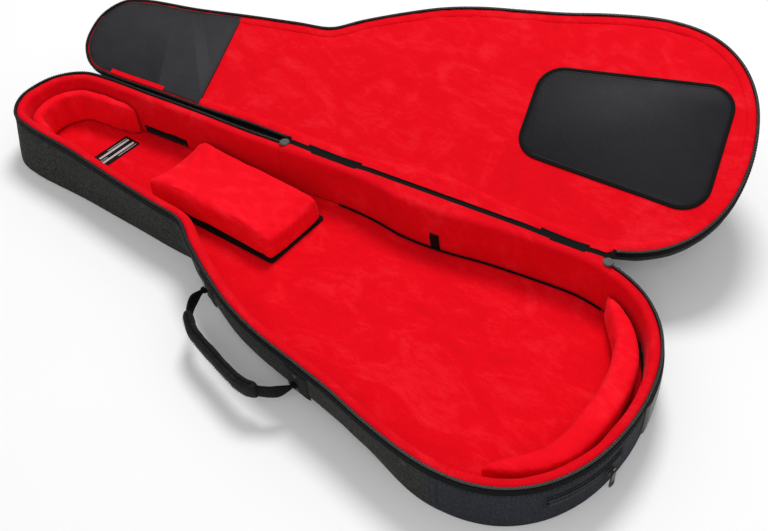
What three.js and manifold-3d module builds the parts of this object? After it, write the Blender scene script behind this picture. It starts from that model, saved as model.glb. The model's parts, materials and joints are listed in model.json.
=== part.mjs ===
// Soft electric-guitar case lying on its back with the lid open.
// Millimetres. X runs from the head end to the tail, Y across towards the hinge side, Z up.
// The origin is on the flat underside of the back panel, at the inside of the head end.
import * as THREE from "three";
import { mergeVertices } from "three/addons/utils/BufferGeometryUtils.js";
import Module from "manifold-3d";

const wasm = await Module();
wasm.setup();

// ---- Outline of the tray, inside the lining ----
const innerLength = 1040; // head lining to tail lining
const headWidth = 118; // inside width just behind the head end
const neckWidth = 147; // inside width at the middle of the neck
const shoulderWidth = 170; // inside width where the shoulders begin
const upperBoutWidth = 269; // inside width at the upper bout
const lowerBoutWidth = 343; // inside width at the lower bout
const headRound = 60; // length of the rounded head end
const neckMiddle = 250; // distance of the neck's middle from the head end
const shoulderStart = 400; // distance of the shoulders from the head end
const shoulderRun = 200; // length over which the shoulders widen
const tailRound = 165; // length of the rounded tail end

// ---- Shell, padding and floor ----
const gap = 0.3; // running gap between sewn layers
const shell = 3; // thickness of the outer fabric and its stiffener
const wallPad = 12.7; // thickness of the padded lining of the walls
const backThickness = 8; // foam board of the back
const floorPad = 3.7; // plush floor lining
const trayHeight = 83; // height of the base's wall
const tape = 1.7; // thickness of the zip tape
const tapeInner = 3; // where the tape starts, outside the lining's face
const coilHeight = 1.7;
const coilWidth = 3.2;
const lidDepth = 24; // depth of the lid's wall
const lidBoard = 8; // foam board of the lid

// ---- Hinge ----
const hingeSlope = 0.13; // rise of the hinge line across, per unit of length
const hingeClear = 1.2; // least distance from the outer wall to the hinge line
const hingeHead = shoulderStart + 5; // the hinge's head end
const hingeTail = innerLength - 125; // the hinge's tail end
const lidTilt = 21; // degrees by which the open lid stands above level
const foldRadius = 2.4; // bead at the fold of the fabric hinge

// ---- Derived ----
const wall = wallPad + gap + shell; // from the lining's face to the outer fabric
const skin = wall - shell; // inner face of the outer fabric
const floorTop = backThickness + gap + floorPad;
const tapeBottom = trayHeight + gap;
const tapeTop = tapeBottom + tape;
const coilTop = tapeTop + gap + coilHeight;
const axisZ = coilTop + 1; // the hinge axis and the plane where the two rims meet
const flip = (z) => 2 * axisZ - z; // height of the lid's matching layer when closed

// Distance from the head end, half width and sideways shift of the middle. The neck lies
// nearer to the hinge side than the body does.
const stations = [
  [0.07 * headRound, 0.44 * headWidth * 0.5, 1],
  [0.42 * headRound, 0.86 * headWidth * 0.5, 2],
  [headRound, headWidth / 2, 4],
  [(headRound + neckMiddle) / 2, (headWidth + neckWidth) / 4 - 1, 10],
  [neckMiddle, neckWidth / 2, 14],
  [(neckMiddle + shoulderStart) / 2 + 10, (neckWidth + shoulderWidth) / 4, 17],
  [shoulderStart, shoulderWidth / 2, 20.5],
  [shoulderStart + 0.24 * shoulderRun, 0.34 * shoulderWidth + 0.16 * upperBoutWidth, 12.5],
  [shoulderStart + 0.55 * shoulderRun, shoulderWidth / 2 + 0.68 * (upperBoutWidth - shoulderWidth) / 2, 4],
  [shoulderStart + 0.82 * shoulderRun, shoulderWidth / 2 + 0.9 * (upperBoutWidth - shoulderWidth) / 2, -4],
  [shoulderStart + shoulderRun + 20, upperBoutWidth / 2, -10.5],
];
const boutStart = shoulderStart + shoulderRun + 20;
const tailStart = innerLength - tailRound;
for (const [share, rise, shift] of [[0.25, 0.2, -9.5], [0.5, 0.5, -5], [0.75, 0.8, -4]]) {
  stations.push([
    boutStart + share * (tailStart - boutStart),
    upperBoutWidth / 2 + (rise * (lowerBoutWidth - upperBoutWidth)) / 2,
    shift,
  ]);
}
// The tail is a flattened half ellipse.
for (const share of [0, 0.22, 0.42, 0.6, 0.76, 0.88, 0.96]) {
  stations.push([
    tailStart + share * tailRound,
    (lowerBoutWidth / 2) * Math.pow(1 - Math.pow(share, 2.6), 1 / 2.15),
    -2 * (1 - share),
  ]);
}

const control = [new THREE.Vector3(0, 1, 0)];
for (const [x, half, shift] of stations) control.push(new THREE.Vector3(x, shift - half, 0));
control.push(new THREE.Vector3(innerLength, 0, 0));
for (const [x, half, shift] of [...stations].reverse()) control.push(new THREE.Vector3(x, shift + half, 0));

const outline = new THREE.CatmullRomCurve3(control, true, "centripetal");
const perSpan = 2;
const count = control.length * perSpan;
const ring = [];
for (let k = 0; k < count; k++) {
  const p = outline.getPoint(k / count);
  const d = outline.getTangent(k / count);
  ring.push({ x: p.x, y: p.y, nx: d.y, ny: -d.x });
}
const tailStation = (stations.length + 1) * perSpan;

// A point of the outline at a fractional station, moved outwards by offset.
function at(t, offset = 0) {
  const whole = Math.floor(t);
  const part = t - whole;
  const a = ring[((whole % count) + count) % count];
  const b = ring[(((whole + 1) % count) + count) % count];
  const x = a.x + a.nx * offset + (b.x + b.nx * offset - a.x - a.nx * offset) * part;
  const y = a.y + a.ny * offset + (b.y + b.ny * offset - a.y - a.ny * offset) * part;
  return new THREE.Vector2(x, y);
}

// The station where the near or far side reaches the distance x from the head end.
function near(x) {
  let k = 0;
  while (k < tailStation - 1 && ring[k + 1].x < x) k++;
  return k + (x - ring[k].x) / (ring[k + 1].x - ring[k].x);
}
function far(x) {
  let k = count;
  while (k > tailStation + 1 && ring[(k - 1) % count].x < x) k--;
  const a = ring[k % count].x;
  return k - (x - a) / (ring[(k - 1) % count].x - a);
}
// A station moved along the outline by a small length.
function along(t, length) {
  const step = at(t + 0.25).distanceTo(at(t - 0.25)) * 2;
  return t + length / step;
}

// The height of the hinge line across at x = 0: clear of the outer wall everywhere.
const rise = Math.hypot(1, hingeSlope);
let hingeY0 = -Infinity;
for (let k = 0; k < count; k++) {
  const p = at(k, wall);
  hingeY0 = Math.max(hingeY0, p.y - hingeSlope * p.x);
}
hingeY0 += hingeClear * rise;
const hingeDir = new THREE.Vector3(1 / rise, hingeSlope / rise, 0);
const hingeFoot = new THREE.Vector3(0, hingeY0, axisZ);
const onHinge = (x, back) =>
  new THREE.Vector2(x + (back * hingeSlope) / rise, hingeY0 + hingeSlope * x - back / rise);

// ---- Mesh helpers ----
function finish(positions, faces) {
  let volume = 0;
  const a = new THREE.Vector3();
  const b = new THREE.Vector3();
  const c = new THREE.Vector3();
  for (const [i, j, k] of faces) {
    a.fromArray(positions, i * 3);
    b.fromArray(positions, j * 3);
    c.fromArray(positions, k * 3);
    volume += a.dot(b.cross(c));
  }
  const index = [];
  for (const [i, j, k] of faces) index.push(i, volume < 0 ? k : j, volume < 0 ? j : k);
  const g = new THREE.BufferGeometry();
  g.setAttribute("position", new THREE.Float32BufferAttribute(positions, 3));
  g.setIndex(index);
  g.computeVertexNormals();
  return g;
}

// Sections of the same number of corners joined in order, with flat ends or closed on themselves.
function loft(sections, closed = false) {
  const n = sections[0].length;
  const positions = [];
  for (const s of sections) for (const p of s) positions.push(p.x, p.y, p.z);
  const faces = [];
  const last = closed ? sections.length : sections.length - 1;
  for (let i = 0; i < last; i++) {
    const row = i * n;
    const next = ((i + 1) % sections.length) * n;
    for (let j = 0; j < n; j++) {
      const k = (j + 1) % n;
      faces.push([row + j, row + k, next + k], [row + j, next + k, next + j]);
    }
  }
  if (!closed) {
    const u = sections[0][1].clone().sub(sections[0][0]).normalize();
    for (const end of [0, sections.length - 1]) {
      const s = sections[end];
      const e1 = s[1].clone().sub(s[0]).normalize();
      const normal = new THREE.Vector3();
      for (let j = 0; j < n; j++) {
        const p = s[j].clone().sub(s[0]);
        normal.add(p.cross(s[(j + 1) % n].clone().sub(s[0])));
      }
      normal.normalize();
      const e2 = normal.clone().cross(e1.lengthSq() ? e1 : u);
      const flat = s.map((p) => {
        const d = p.clone().sub(s[0]);
        return new THREE.Vector2(d.dot(e1), d.dot(e2));
      });
      for (const [i, j, k] of THREE.ShapeUtils.triangulateShape(flat, [])) {
        const f = [end * n + i, end * n + j, end * n + k];
        faces.push(end === 0 ? [f[0], f[2], f[1]] : f);
      }
    }
  }
  return finish(positions, faces);
}

// Stations from t0 to t1: both ends and every whole station between.
function between(t0, t1) {
  const list = [t0];
  for (let k = Math.floor(t0) + 1; k < t1 - 0.02; k++) if (k > t0 + 0.02) list.push(k);
  list.push(t1);
  return list;
}

// A profile of [offset, z] corners carried along the outline from station t0 to t1.
function sweep(profile, t0, t1) {
  const make = typeof profile === "function" ? profile : () => profile;
  return loft(
    between(t0, t1).map((t) =>
      make((t - t0) / (t1 - t0)).map(([offset, z]) => {
        const p = at(t, offset);
        return new THREE.Vector3(p.x, p.y, z);
      }),
    ),
  );
}

// A flat piece with the given plan, from z0 to z1.
function slab(points, z0, z1) {
  const lower = points.map((p) => new THREE.Vector3(p.x, p.y, z0));
  const upper = points.map((p) => new THREE.Vector3(p.x, p.y, z1));
  const n = points.length;
  const positions = [...lower, ...upper].flatMap((p) => [p.x, p.y, p.z]);
  const faces = [];
  for (let j = 0; j < n; j++) {
    const k = (j + 1) % n;
    faces.push([j, k, n + k], [j, n + k, n + j]);
  }
  for (const [i, j, k] of THREE.ShapeUtils.triangulateShape(points, [])) {
    faces.push([i, k, j], [n + i, n + j, n + k]);
  }
  return finish(positions, faces);
}
const plan = (offset) => ring.map((_, k) => at(k, offset));

// A convex plan, its corners in turn anticlockwise, with the corners rounded. It may be grown outwards.
function rounded(corners, radius, grow = 0, steps = 4) {
  const n = corners.length;
  const normal = (from, to) => {
    const d = to.clone().sub(from).normalize();
    return new THREE.Vector2(d.y, -d.x);
  };
  const points = [];
  corners.forEach((p, i) => {
    const before = normal(corners[(i + n - 1) % n], p);
    const after = normal(p, corners[(i + 1) % n]);
    const start = before.angle();
    const turn = THREE.MathUtils.euclideanModulo(after.angle() - start, 2 * Math.PI);
    const middle = before.clone().add(after).normalize();
    const centre = p.clone().addScaledVector(middle, -radius / Math.cos(turn / 2));
    for (let k = 0; k <= steps; k++) {
      const angle = start + (turn * k) / steps;
      const reach = radius + grow;
      const out = new THREE.Vector2(Math.cos(angle), Math.sin(angle));
      points.push(centre.clone().addScaledVector(out, reach));
    }
  });
  return points;
}
const corners = (list) => list.map(([x, y]) => new THREE.Vector2(x, y));

function bare(geometry) {
  const g = geometry.clone();
  g.deleteAttribute("normal");
  g.deleteAttribute("uv");
  return mergeVertices(g, 1e-4);
}
function toSolid(geometry) {
  const g = bare(geometry);
  return new wasm.Manifold(
    new wasm.Mesh({
      numProp: 3,
      vertProperties: g.attributes.position.array,
      triVerts: new Uint32Array(g.index.array),
    }),
  );
}
function toGeometry(solid) {
  const m = solid.getMesh();
  const g = new THREE.BufferGeometry();
  g.setAttribute("position", new THREE.BufferAttribute(new Float32Array(m.vertProperties), 3));
  g.setIndex(new THREE.BufferAttribute(new Uint32Array(m.triVerts), 1));
  g.computeVertexNormals();
  return g;
}
const minus = (a, b) => toGeometry(toSolid(a).subtract(toSolid(b)));
const plus = (a, b) => toGeometry(toSolid(a).add(toSolid(b)));

// ---- Materials ----
const look = (color, roughness, metalness = 0) =>
  new THREE.MeshStandardMaterial({ color, roughness, metalness });
const looks = {
  heather: () => look(0x2b2b2d, 0.95),
  smooth: () => look(0x202329, 0.7),
  plush: () => look(0xe2061e, 0.9),
  tape: () => look(0x0f0d0d, 0.8),
  coil: () => look(0x171616, 0.45),
  patch: () => look(0x2b2c30, 0.75),
  rubber: () => look(0x191a1c, 0.5),
  velcro: () => look(0x101010, 1),
  metal: () => look(0x3b3c3e, 0.35, 0.9),
  label: () => look(0x0c0c0d, 0.6),
};

const group = new THREE.Group();
const lidGroup = new THREE.Group();
group.add(lidGroup);
function add(name, geometry, material, parent = group) {
  const mesh = new THREE.Mesh(geometry, material);
  mesh.name = name;
  parent.add(mesh);
  return mesh;
}

// ---- Base: back, walls, floor ----
const seamX = innerLength - 135; // where the smooth tail section meets the heather wall
const bottomRoll = 5; // rounding of the wall's lower edge
const wallProfile = [
  [skin, 0],
  [wall - 1, bottomRoll * 0.3],
  [wall, bottomRoll],
  [wall, trayHeight],
  [skin, trayHeight],
];
const seamNear = near(seamX);
const seamFar = far(seamX);
add("back_panel", slab(plan(wallPad), 0, backThickness), looks.heather());
add("tail_wall", sweep(wallProfile, along(seamNear, gap / 2), along(seamFar, -gap / 2)), looks.smooth());
add(
  "side_wall",
  sweep(wallProfile, along(seamFar, gap / 2), count + along(seamNear, -gap / 2)),
  looks.heather(),
);

const padRound = 4;
const liningProfile = [
  [0, backThickness + gap],
  [wallPad, backThickness + gap],
  [wallPad, trayHeight],
  [padRound, trayHeight],
  [0, trayHeight - padRound],
];
const liningSeams = {
  headNear: near(neckMiddle - 60),
  tailNear: near(innerLength - 120),
  tailFar: far(innerLength - 120),
  neckFar: far(hingeHead),
  headFar: far(neckMiddle - 55),
};
function lining(name, t0, t1) {
  const start = along(t0, gap / 2);
  const end = along(t1, -gap / 2);
  add(name, sweep(liningProfile, start, end), looks.plush());
}
lining("lining_near", liningSeams.headNear, liningSeams.tailNear);
lining("lining_tail", liningSeams.tailNear, liningSeams.tailFar);
lining("lining_far_body", liningSeams.tailFar, liningSeams.neckFar);
lining("lining_far_neck", liningSeams.neckFar, liningSeams.headFar);
lining("lining_head", liningSeams.headFar, count + liningSeams.headNear);
add("floor_lining", slab(plan(-gap), backThickness + gap, floorTop), looks.plush());

// ---- Rim: zip tape and coil, and the base half of the fabric hinge ----
const hingeStart = far(hingeTail);
const hingeEnd = far(hingeHead);
function strip(z0, z1) {
  return loft(
    between(along(hingeStart, 1), along(hingeEnd, -1)).map((t) => {
      const inner = at(t, tapeInner);
      const outer = onHinge(inner.x, 0.4);
      return [
        new THREE.Vector3(inner.x, inner.y, z0),
        new THREE.Vector3(outer.x, outer.y, z0),
        new THREE.Vector3(outer.x, outer.y, z1),
        new THREE.Vector3(inner.x, inner.y, z1),
      ];
    }),
  );
}
const zipStart = along(hingeEnd, 1);
const zipEnd = count + along(hingeStart, -1);
const tapeProfile = (z0, z1) => [[tapeInner, z0], [wall - gap, z0], [wall - gap, z1], [tapeInner, z1]];
const coilProfile = (z0, z1) => [[wall - coilWidth, z0], [wall, z0], [wall, z1], [wall - coilWidth, z1]];
add("base_zip_tape", sweep(tapeProfile(tapeBottom, tapeTop), zipStart, zipEnd), looks.tape());
add("base_zip_coil", sweep(coilProfile(tapeTop + gap, coilTop), zipStart, zipEnd), looks.coil());
add("hinge_strip_base", strip(tapeBottom, tapeTop), looks.tape());

const foldFrom = onHinge(hingeHead, 0);
const foldTo = onHinge(hingeTail, 0);
const foldLine = new THREE.LineCurve3(
  new THREE.Vector3(foldFrom.x, foldFrom.y, axisZ),
  new THREE.Vector3(foldTo.x, foldTo.y, axisZ),
);
const foldSection = new THREE.Shape().absarc(0, 0, foldRadius, 0, 2 * Math.PI);
add(
  "hinge_fold",
  new THREE.ExtrudeGeometry(foldSection, {
    steps: 1,
    curveSegments: 4,
    extrudePath: foldLine,
    bevelEnabled: false,
  }),
  looks.tape(),
);

// ---- Trim inside the tray ----
const cradleHead = neckMiddle + 14; // the neck cradle's place and length
const cradleLength = 240;
const pipe = 1.4;
const pipeProfile = [];
for (let i = 0; i < 6; i++) {
  const angle = (i * Math.PI) / 3;
  pipeProfile.push([-gap - pipe + pipe * Math.cos(angle), floorTop + gap + pipe + pipe * Math.sin(angle)]);
}
const pipingStart = far(innerLength - 118);
add("floor_piping", sweep(pipeProfile, pipingStart, far(cradleHead + cradleLength - 4)), looks.tape());

const patchOnWall = (name, t0, t1, z0, z1, thick, material) =>
  add(name, sweep([[-gap - thick, z0], [-gap, z0], [-gap, z1], [-gap - thick, z1]], t0, t1), material);
const velcro = 1.2;
const padHead = 2 * headRound + 13; // where the head cushion's far arm ends
const wallVelcroEnds = [far(neckMiddle - 30), far(padHead + 3)];
patchOnWall("wall_velcro", ...wallVelcroEnds, floorTop + 3, floorTop + 17, velcro, looks.velcro());
const headVelcroEnds = [far(padHead - 18) - count, near(headRound)];
patchOnWall("head_velcro", ...headVelcroEnds, floorTop + 14, floorTop + 39, velcro, looks.velcro());
const tailVelcroEnds = [near(innerLength - 82), far(innerLength - 95)];
patchOnWall("tail_velcro", ...tailVelcroEnds, floorTop + 12, floorTop + 37, velcro, looks.velcro());
const tagX = boutStart + 46;
patchOnWall("wall_tag", far(tagX + 14), far(tagX), floorTop + 4, floorTop + 32, velcro, looks.label());
const labelPlan = rounded(corners([[114, -30], [147, -30], [147, 46], [114, 46]]), 2, 0, 1);
add("floor_label", slab(labelPlan, floorTop + gap, floorTop + gap + 0.8), looks.label());

// ---- Loose cushions: head bumper, neck cradle, tail bumper ----
const cushionBack = gap + velcro + gap; // clear of the velcro on the wall
const headPadThick = 20;
const headPadHeight = 58;
const cushionFoot = floorTop + gap;
const cushion = (thick, height) => [
  [-cushionBack, cushionFoot + 3],
  [-cushionBack, cushionFoot + height - 5],
  [-cushionBack - 5, cushionFoot + height],
  [-cushionBack - thick + 7, cushionFoot + height],
  [-cushionBack - thick, cushionFoot + height - 8],
  [-cushionBack - thick, cushionFoot + 3],
  [-cushionBack - thick + 3, cushionFoot],
  [-cushionBack - 3, cushionFoot],
];
add(
  "head_pad",
  sweep(() => cushion(headPadThick, headPadHeight), far(padHead) - count, near(headRound + 18)),
  looks.plush(),
);
const tailPadThick = 47;
const tailPadEnd = 19;
const tailPadHeight = 52;
function crescent(share) {
  const swell = Math.pow(Math.sin(Math.PI * share), 0.8);
  return cushion(tailPadEnd + (tailPadThick - tailPadEnd) * swell, tailPadHeight);
}
add("tail_pad", sweep(crescent, near(innerLength - 103), far(innerLength - 113)), looks.plush());

// The neck cradle is a foam block with a shallow saddle, on a thin dark base.
const cradleWidth = 118; // at its head end
const cradleTaper = 5; // how much narrower it is at its tail end
const cradleSkew = 5; // how far its tail end's far corner lies beyond its head end's
const cradleHeight = 48;
const cradleBase = 3;
const cradleWallGap = 7;
const saddle = 7; // depth of the saddle
const cradleFar = at(far(cradleHead)).y - cradleWallGap;
const cradlePlan = corners([
  [cradleHead, cradleFar - cradleWidth],
  [cradleHead + cradleLength, cradleFar + cradleSkew - cradleWidth + cradleTaper],
  [cradleHead + cradleLength, cradleFar + cradleSkew],
  [cradleHead, cradleFar],
]);
add("cradle_base", slab(cradlePlan, cushionFoot, cushionFoot + cradleBase), looks.tape());
const cradleFoot = cushionFoot + cradleBase + gap;
const cradleTop = cushionFoot + cradleHeight;
// A section across the block at a share of its length, its ends lowered by drop.
function cradleSection(share, drop) {
  const low = cradlePlan[0].clone().lerp(cradlePlan[1], share);
  const high = cradlePlan[3].clone().lerp(cradlePlan[2], share);
  const corner = 6 / low.distanceTo(high);
  const list = [
    [0, cradleFoot],
    [1, cradleFoot],
    [1, cradleTop - 6 - drop],
    [1 - corner, cradleTop - drop],
  ];
  for (const across of [0.75, 0.5, 0.25]) {
    list.push([across, cradleTop - drop - saddle * Math.sin(Math.PI * across)]);
  }
  list.push([corner, cradleTop - drop], [0, cradleTop - 6 - drop]);
  return list.map(([across, z]) => {
    const p = low.clone().lerp(high, across);
    return new THREE.Vector3(p.x, p.y, z);
  });
}
const cradleEnds = [[0, 5], [0.03, 0], [0.5, 0], [0.97, 0], [1, 5]];
add("neck_cradle", loft(cradleEnds.map(([share, drop]) => cradleSection(share, drop))), looks.plush());

// ---- Tail: bumper and pocket zip on the outside ----
const tailPiece = (name, t0, t1, o0, o1, z0, z1, material) =>
  add(name, sweep([[o0, z0], [o1, z0], [o1, z1], [o0, z1]], t0, t1), material);
const bumper = 4;
const tailMiddle = tailStation;
tailPiece(
  "tail_bumper",
  along(tailMiddle, 22),
  along(tailMiddle, 112),
  wall + gap,
  wall + gap + bumper,
  14,
  trayHeight - 10,
  looks.rubber(),
);
const welt = 1.5;
const pocketZ = 46; // height of the pocket zip's middle
const pocketFrom = near(innerLength - 38);
const pocketTo = along(tailMiddle, -26);
tailPiece(
  "tail_pocket_welt",
  pocketFrom,
  pocketTo,
  wall + gap,
  wall + gap + welt,
  pocketZ - 10,
  pocketZ + 10,
  looks.smooth(),
);
const zipFace = wall + 2 * gap + welt;
tailPiece(
  "tail_pocket_zip",
  along(pocketFrom, 6),
  along(pocketTo, -6),
  zipFace,
  zipFace + 1.4,
  pocketZ - 3,
  pocketZ + 3,
  looks.coil(),
);

// A zip slider at a station: its foot stands off the given offset, and its tab hangs from it.
const sliderLength = 13;
const sliderHeight = 9;
const sliderThick = 4;
const bail = 2.1; // how far the tab's hinge line stands off the slider
const tabHead = 1.2; // the tab's forked end, past its hinge line
const forkDeep = 2.4;
const postWidth = 3;
const tabLength = 30;
const tabWidth = 9;
const tabThick = 2;
function sliderAt(t, offset, z, name, pullName, parent = group) {
  const p = at(t, offset);
  const q = at(t, offset + 1);
  const out = q.clone().sub(p).normalize();
  const yaw = Math.atan2(out.y, out.x);
  const body = new THREE.BoxGeometry(sliderThick, sliderLength, sliderHeight);
  body.translate(sliderThick / 2, 0, 0);
  const post = new THREE.BoxGeometry(bail + 1.2, postWidth, 2 * tabHead);
  post.translate(sliderThick + (bail + 0.8) / 2, 0, 0);
  const slider = plus(body, post);
  slider.rotateZ(yaw);
  slider.translate(p.x, p.y, z);
  add(name, slider, looks.metal(), parent);
  // The tab's forked head straddles the post, and the tab hangs down.
  const plate = new THREE.BoxGeometry(tabThick, tabWidth, tabLength);
  plate.translate(sliderThick + bail, 0, tabHead - tabLength / 2);
  const fork = new THREE.BoxGeometry(3 * tabThick, postWidth + 2 * gap, 2 * forkDeep);
  fork.translate(sliderThick + bail, 0, 0);
  const pull = minus(plate, fork);
  pull.rotateZ(yaw);
  pull.translate(p.x, p.y, z);
  add(pullName, pull, looks.metal(), parent);
}
const pocketAt = pocketFrom + (pocketTo - pocketFrom) * 0.82;
const runClear = 0.6; // the slider runs on a curve, over the flats of the zip
sliderAt(pocketAt, zipFace + 1.4 + runClear, pocketZ, "tail_pocket_slider", "tail_pocket_pull");
const parkOffset = wall + gap;
sliderAt(along(hingeEnd, 9), parkOffset, trayHeight - 5, "zip_slider_head", "zip_pull_head");
sliderAt(along(hingeStart, -9), parkOffset, trayHeight - 5, "zip_slider_tail", "zip_pull_tail");

// ---- Carry handle on the near wall ----
const handleHead = boutStart - 124;
const handleTail = handleHead + 194;
const handleZ = 47;
const handlePatch = 1.5;
const rollRadius = 3;
const handleReach = 48; // how far the grip stands from its hinge line
const handleSag = 2; // degrees by which it hangs below level
const patchFace = wall + gap + handlePatch;
const rollLength = 8;
const rollClear = 0.9; // the patch is curved, so its middle is a little further away
const axisOffset = patchFace + rollClear + rollRadius;
const anchors = [near(handleHead), near(handleTail)];
const anchorNames = ["head", "tail"];
anchors.forEach((t, i) => {
  const t0 = along(t, -20);
  const t1 = along(t, 20);
  const profile = [
    [wall + gap, handleZ - 21],
    [patchFace, handleZ - 21],
    [patchFace, handleZ + 21],
    [wall + gap, handleZ + 21],
  ];
  add("handle_patch_" + anchorNames[i], sweep(profile, t0, t1), looks.smooth());
  ["upper", "lower"].forEach((level, j) => {
    const z = handleZ + (j === 0 ? 14 : -14);
    const p = at(t, patchFace + gap);
    const q = at(t, patchFace + gap + 1);
    const rivet = new THREE.CylinderGeometry(2.6, 3.2, 1.2, 12);
    rivet.translate(0, 0.6, 0);
    rivet.applyQuaternion(
      new THREE.Quaternion().setFromUnitVectors(
        new THREE.Vector3(0, 1, 0),
        new THREE.Vector3(q.x - p.x, q.y - p.y, 0).normalize(),
      ),
    );
    rivet.translate(p.x, p.y, z);
    add("handle_rivet_" + anchorNames[i] + "_" + level, rivet, looks.metal());
  });
});
const anchorA = at(anchors[0], axisOffset);
const anchorB = at(anchors[1], axisOffset);
const span = anchorA.distanceTo(anchorB);
const handleDir = anchorB.clone().sub(anchorA).normalize();
const handleOut = new THREE.Vector2(handleDir.y, -handleDir.x);
// The handle's own plane: u along the hinge line, v outwards and a little down.
function handlePoint(u, v, w) {
  const sag = THREE.MathUtils.degToRad(handleSag);
  const out = v * Math.cos(sag) + w * Math.sin(sag);
  const x = anchorA.x + handleDir.x * u + handleOut.x * out;
  const y = anchorA.y + handleDir.y * u + handleOut.y * out;
  return new THREE.Vector3(x, y, handleZ - v * Math.sin(sag) + w * Math.cos(sag));
}
const half = [
  [0, 0],
  [1.5, 9],
  [9, 24],
  [26, 38],
  [46, handleReach - 2],
  [70, handleReach],
];
const handlePath = [...half, ...[...half].reverse().map(([u, v]) => [span - u, v])];
function handleSweep(path, thick, widthAt) {
  const rows = path.map(([u, v], i) => {
    const a = path[Math.max(i - 1, 0)];
    const b = path[Math.min(i + 1, path.length - 1)];
    const d = new THREE.Vector2(b[0] - a[0], b[1] - a[1]).normalize();
    if (i === 0) d.set(0, 1);
    if (i === path.length - 1) d.set(0, -1);
    const w = widthAt(v) / 2;
    const tx = (-d.y * thick) / 2;
    const ty = (d.x * thick) / 2;
    return [
      handlePoint(u + tx, v + ty, -w),
      handlePoint(u + tx, v + ty, w),
      handlePoint(u - tx, v - ty, w),
      handlePoint(u - tx, v - ty, -w),
    ];
  });
  return loft(rows);
}
const strapWidth = 22;
const strapThick = 2.6;
const strapRoot = 2 * rollRadius;
const strapAt = (v) => strapRoot + (strapWidth - strapRoot) * THREE.MathUtils.smoothstep(v, 0, 22);
function roll(u) {
  const g = new THREE.CylinderGeometry(rollRadius, rollRadius, rollLength, 12);
  g.rotateZ(Math.PI / 2);
  g.rotateZ(Math.atan2(handleDir.y, handleDir.x));
  const p = handlePoint(u, 0, 0);
  g.translate(p.x, p.y, p.z);
  return g;
}
const strap = handleSweep(handlePath, strapThick, strapAt);
add("handle_webbing", plus(plus(strap, roll(0)), roll(span)), looks.tape());

// The padded grip is a sleeve of eight sides round the webbing.
const gripThick = 14;
const gripWidth = 27;
const gripFrom = 30;
const gripPath = [
  [gripFrom, handlePathV(gripFrom)],
  [46, handleReach - 2],
  [70, handleReach],
  [span - 70, handleReach],
  [span - 46, handleReach - 2],
  [span - gripFrom, handlePathV(gripFrom)],
];
function handlePathV(u) {
  let k = 0;
  while (half[k + 1][0] < u) k++;
  const share = (u - half[k][0]) / (half[k + 1][0] - half[k][0]);
  return half[k][1] + share * (half[k + 1][1] - half[k][1]);
}
function sleeve(path, thick, width) {
  const rows = path.map(([u, v], i) => {
    const a = path[Math.max(i - 1, 0)];
    const b = path[Math.min(i + 1, path.length - 1)];
    const d = new THREE.Vector2(b[0] - a[0], b[1] - a[1]).normalize();
    const row = [];
    for (let j = 0; j < 8; j++) {
      const angle = ((j + 0.5) * Math.PI) / 4;
      const s = (Math.cos(angle) / Math.cos(Math.PI / 8)) * (thick / 2);
      const w = (Math.sin(angle) / Math.cos(Math.PI / 8)) * (width / 2);
      row.push(handlePoint(u - d.y * s, v + d.x * s, w));
    }
    return row;
  });
  return loft(rows);
}
const slot = handleSweep(handlePath, strapThick + 2 * gap, (v) => strapAt(v) + 2 * gap);
add("handle_grip", minus(sleeve(gripPath, gripThick, gripWidth), slot), looks.heather());

// ---- Lid, drawn closed on the tray and then opened about the hinge line ----
const lidRim = flip(trayHeight);
const lidBack = lidRim + lidDepth;
const lidWallProfile = [
  [skin, lidRim],
  [wall, lidRim],
  [wall, lidBack - bottomRoll],
  [wall - 1, lidBack - bottomRoll * 0.3],
  [skin, lidBack],
];
const lidWallSections = [];
for (let k = 0; k < count; k++) {
  lidWallSections.push(
    lidWallProfile.map(([offset, z]) => {
      const p = at(k, offset);
      return new THREE.Vector3(p.x, p.y, z);
    }),
  );
}
const boardFoot = lidBack - lidBoard;
add("lid_wall", loft(lidWallSections, true), looks.heather(), lidGroup);
add("lid_panel", slab(plan(wallPad), boardFoot, lidBack), looks.heather(), lidGroup);
add("lid_lining", slab(plan(wallPad), lidRim, boardFoot - gap), looks.plush(), lidGroup);
const lidTapeProfile = tapeProfile(flip(tapeTop), flip(tapeBottom));
add("lid_zip_tape", sweep(lidTapeProfile, zipStart, zipEnd), looks.tape(), lidGroup);
add(
  "lid_zip_coil",
  sweep(coilProfile(flip(coilTop), flip(tapeTop + gap)), zipStart, zipEnd),
  looks.coil(),
  lidGroup,
);
add("hinge_strip_lid", strip(flip(tapeTop), flip(tapeBottom)), looks.tape(), lidGroup);

// Patches on the lid's lining, which faces down when closed.
const lidFace = lidRim - gap;
const sheet = 1.2;
const headPatchEnd = 238;
const headPatchPlan = between(far(headPatchEnd) - count, near(headPatchEnd)).map((t) =>
  at(t, tapeInner - gap),
);
add("headstock_patch", slab(headPatchPlan, lidFace - sheet, lidFace), looks.patch(), lidGroup);
const bridgeTail = innerLength - 26;
const bridgeLength = 270;
const bridgeRound = 34;
const binding = 5;
const bridgeCorners = corners([
  [bridgeTail - bridgeLength, -74],
  [bridgeTail, -92],
  [bridgeTail - 6, 104],
  [bridgeTail - bridgeLength, 64],
]);
const bridgeOutline = (grow) => rounded(bridgeCorners, bridgeRound, grow, 5);
add("bridge_patch", slab(bridgeOutline(0), lidFace - sheet, lidFace), looks.patch(), lidGroup);
const ringRows = bridgeOutline(gap).map((p, i) => {
  const q = bridgeOutline(gap + binding)[i];
  return [
    new THREE.Vector3(p.x, p.y, lidFace - 1.6),
    new THREE.Vector3(q.x, q.y, lidFace - 1.6),
    new THREE.Vector3(q.x, q.y, lidFace),
    new THREE.Vector3(p.x, p.y, lidFace),
  ];
});
add("bridge_binding", loft(ringRows, true), looks.tape(), lidGroup);
const tagFrom = far(168);
const tagTo = far(63);
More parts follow.
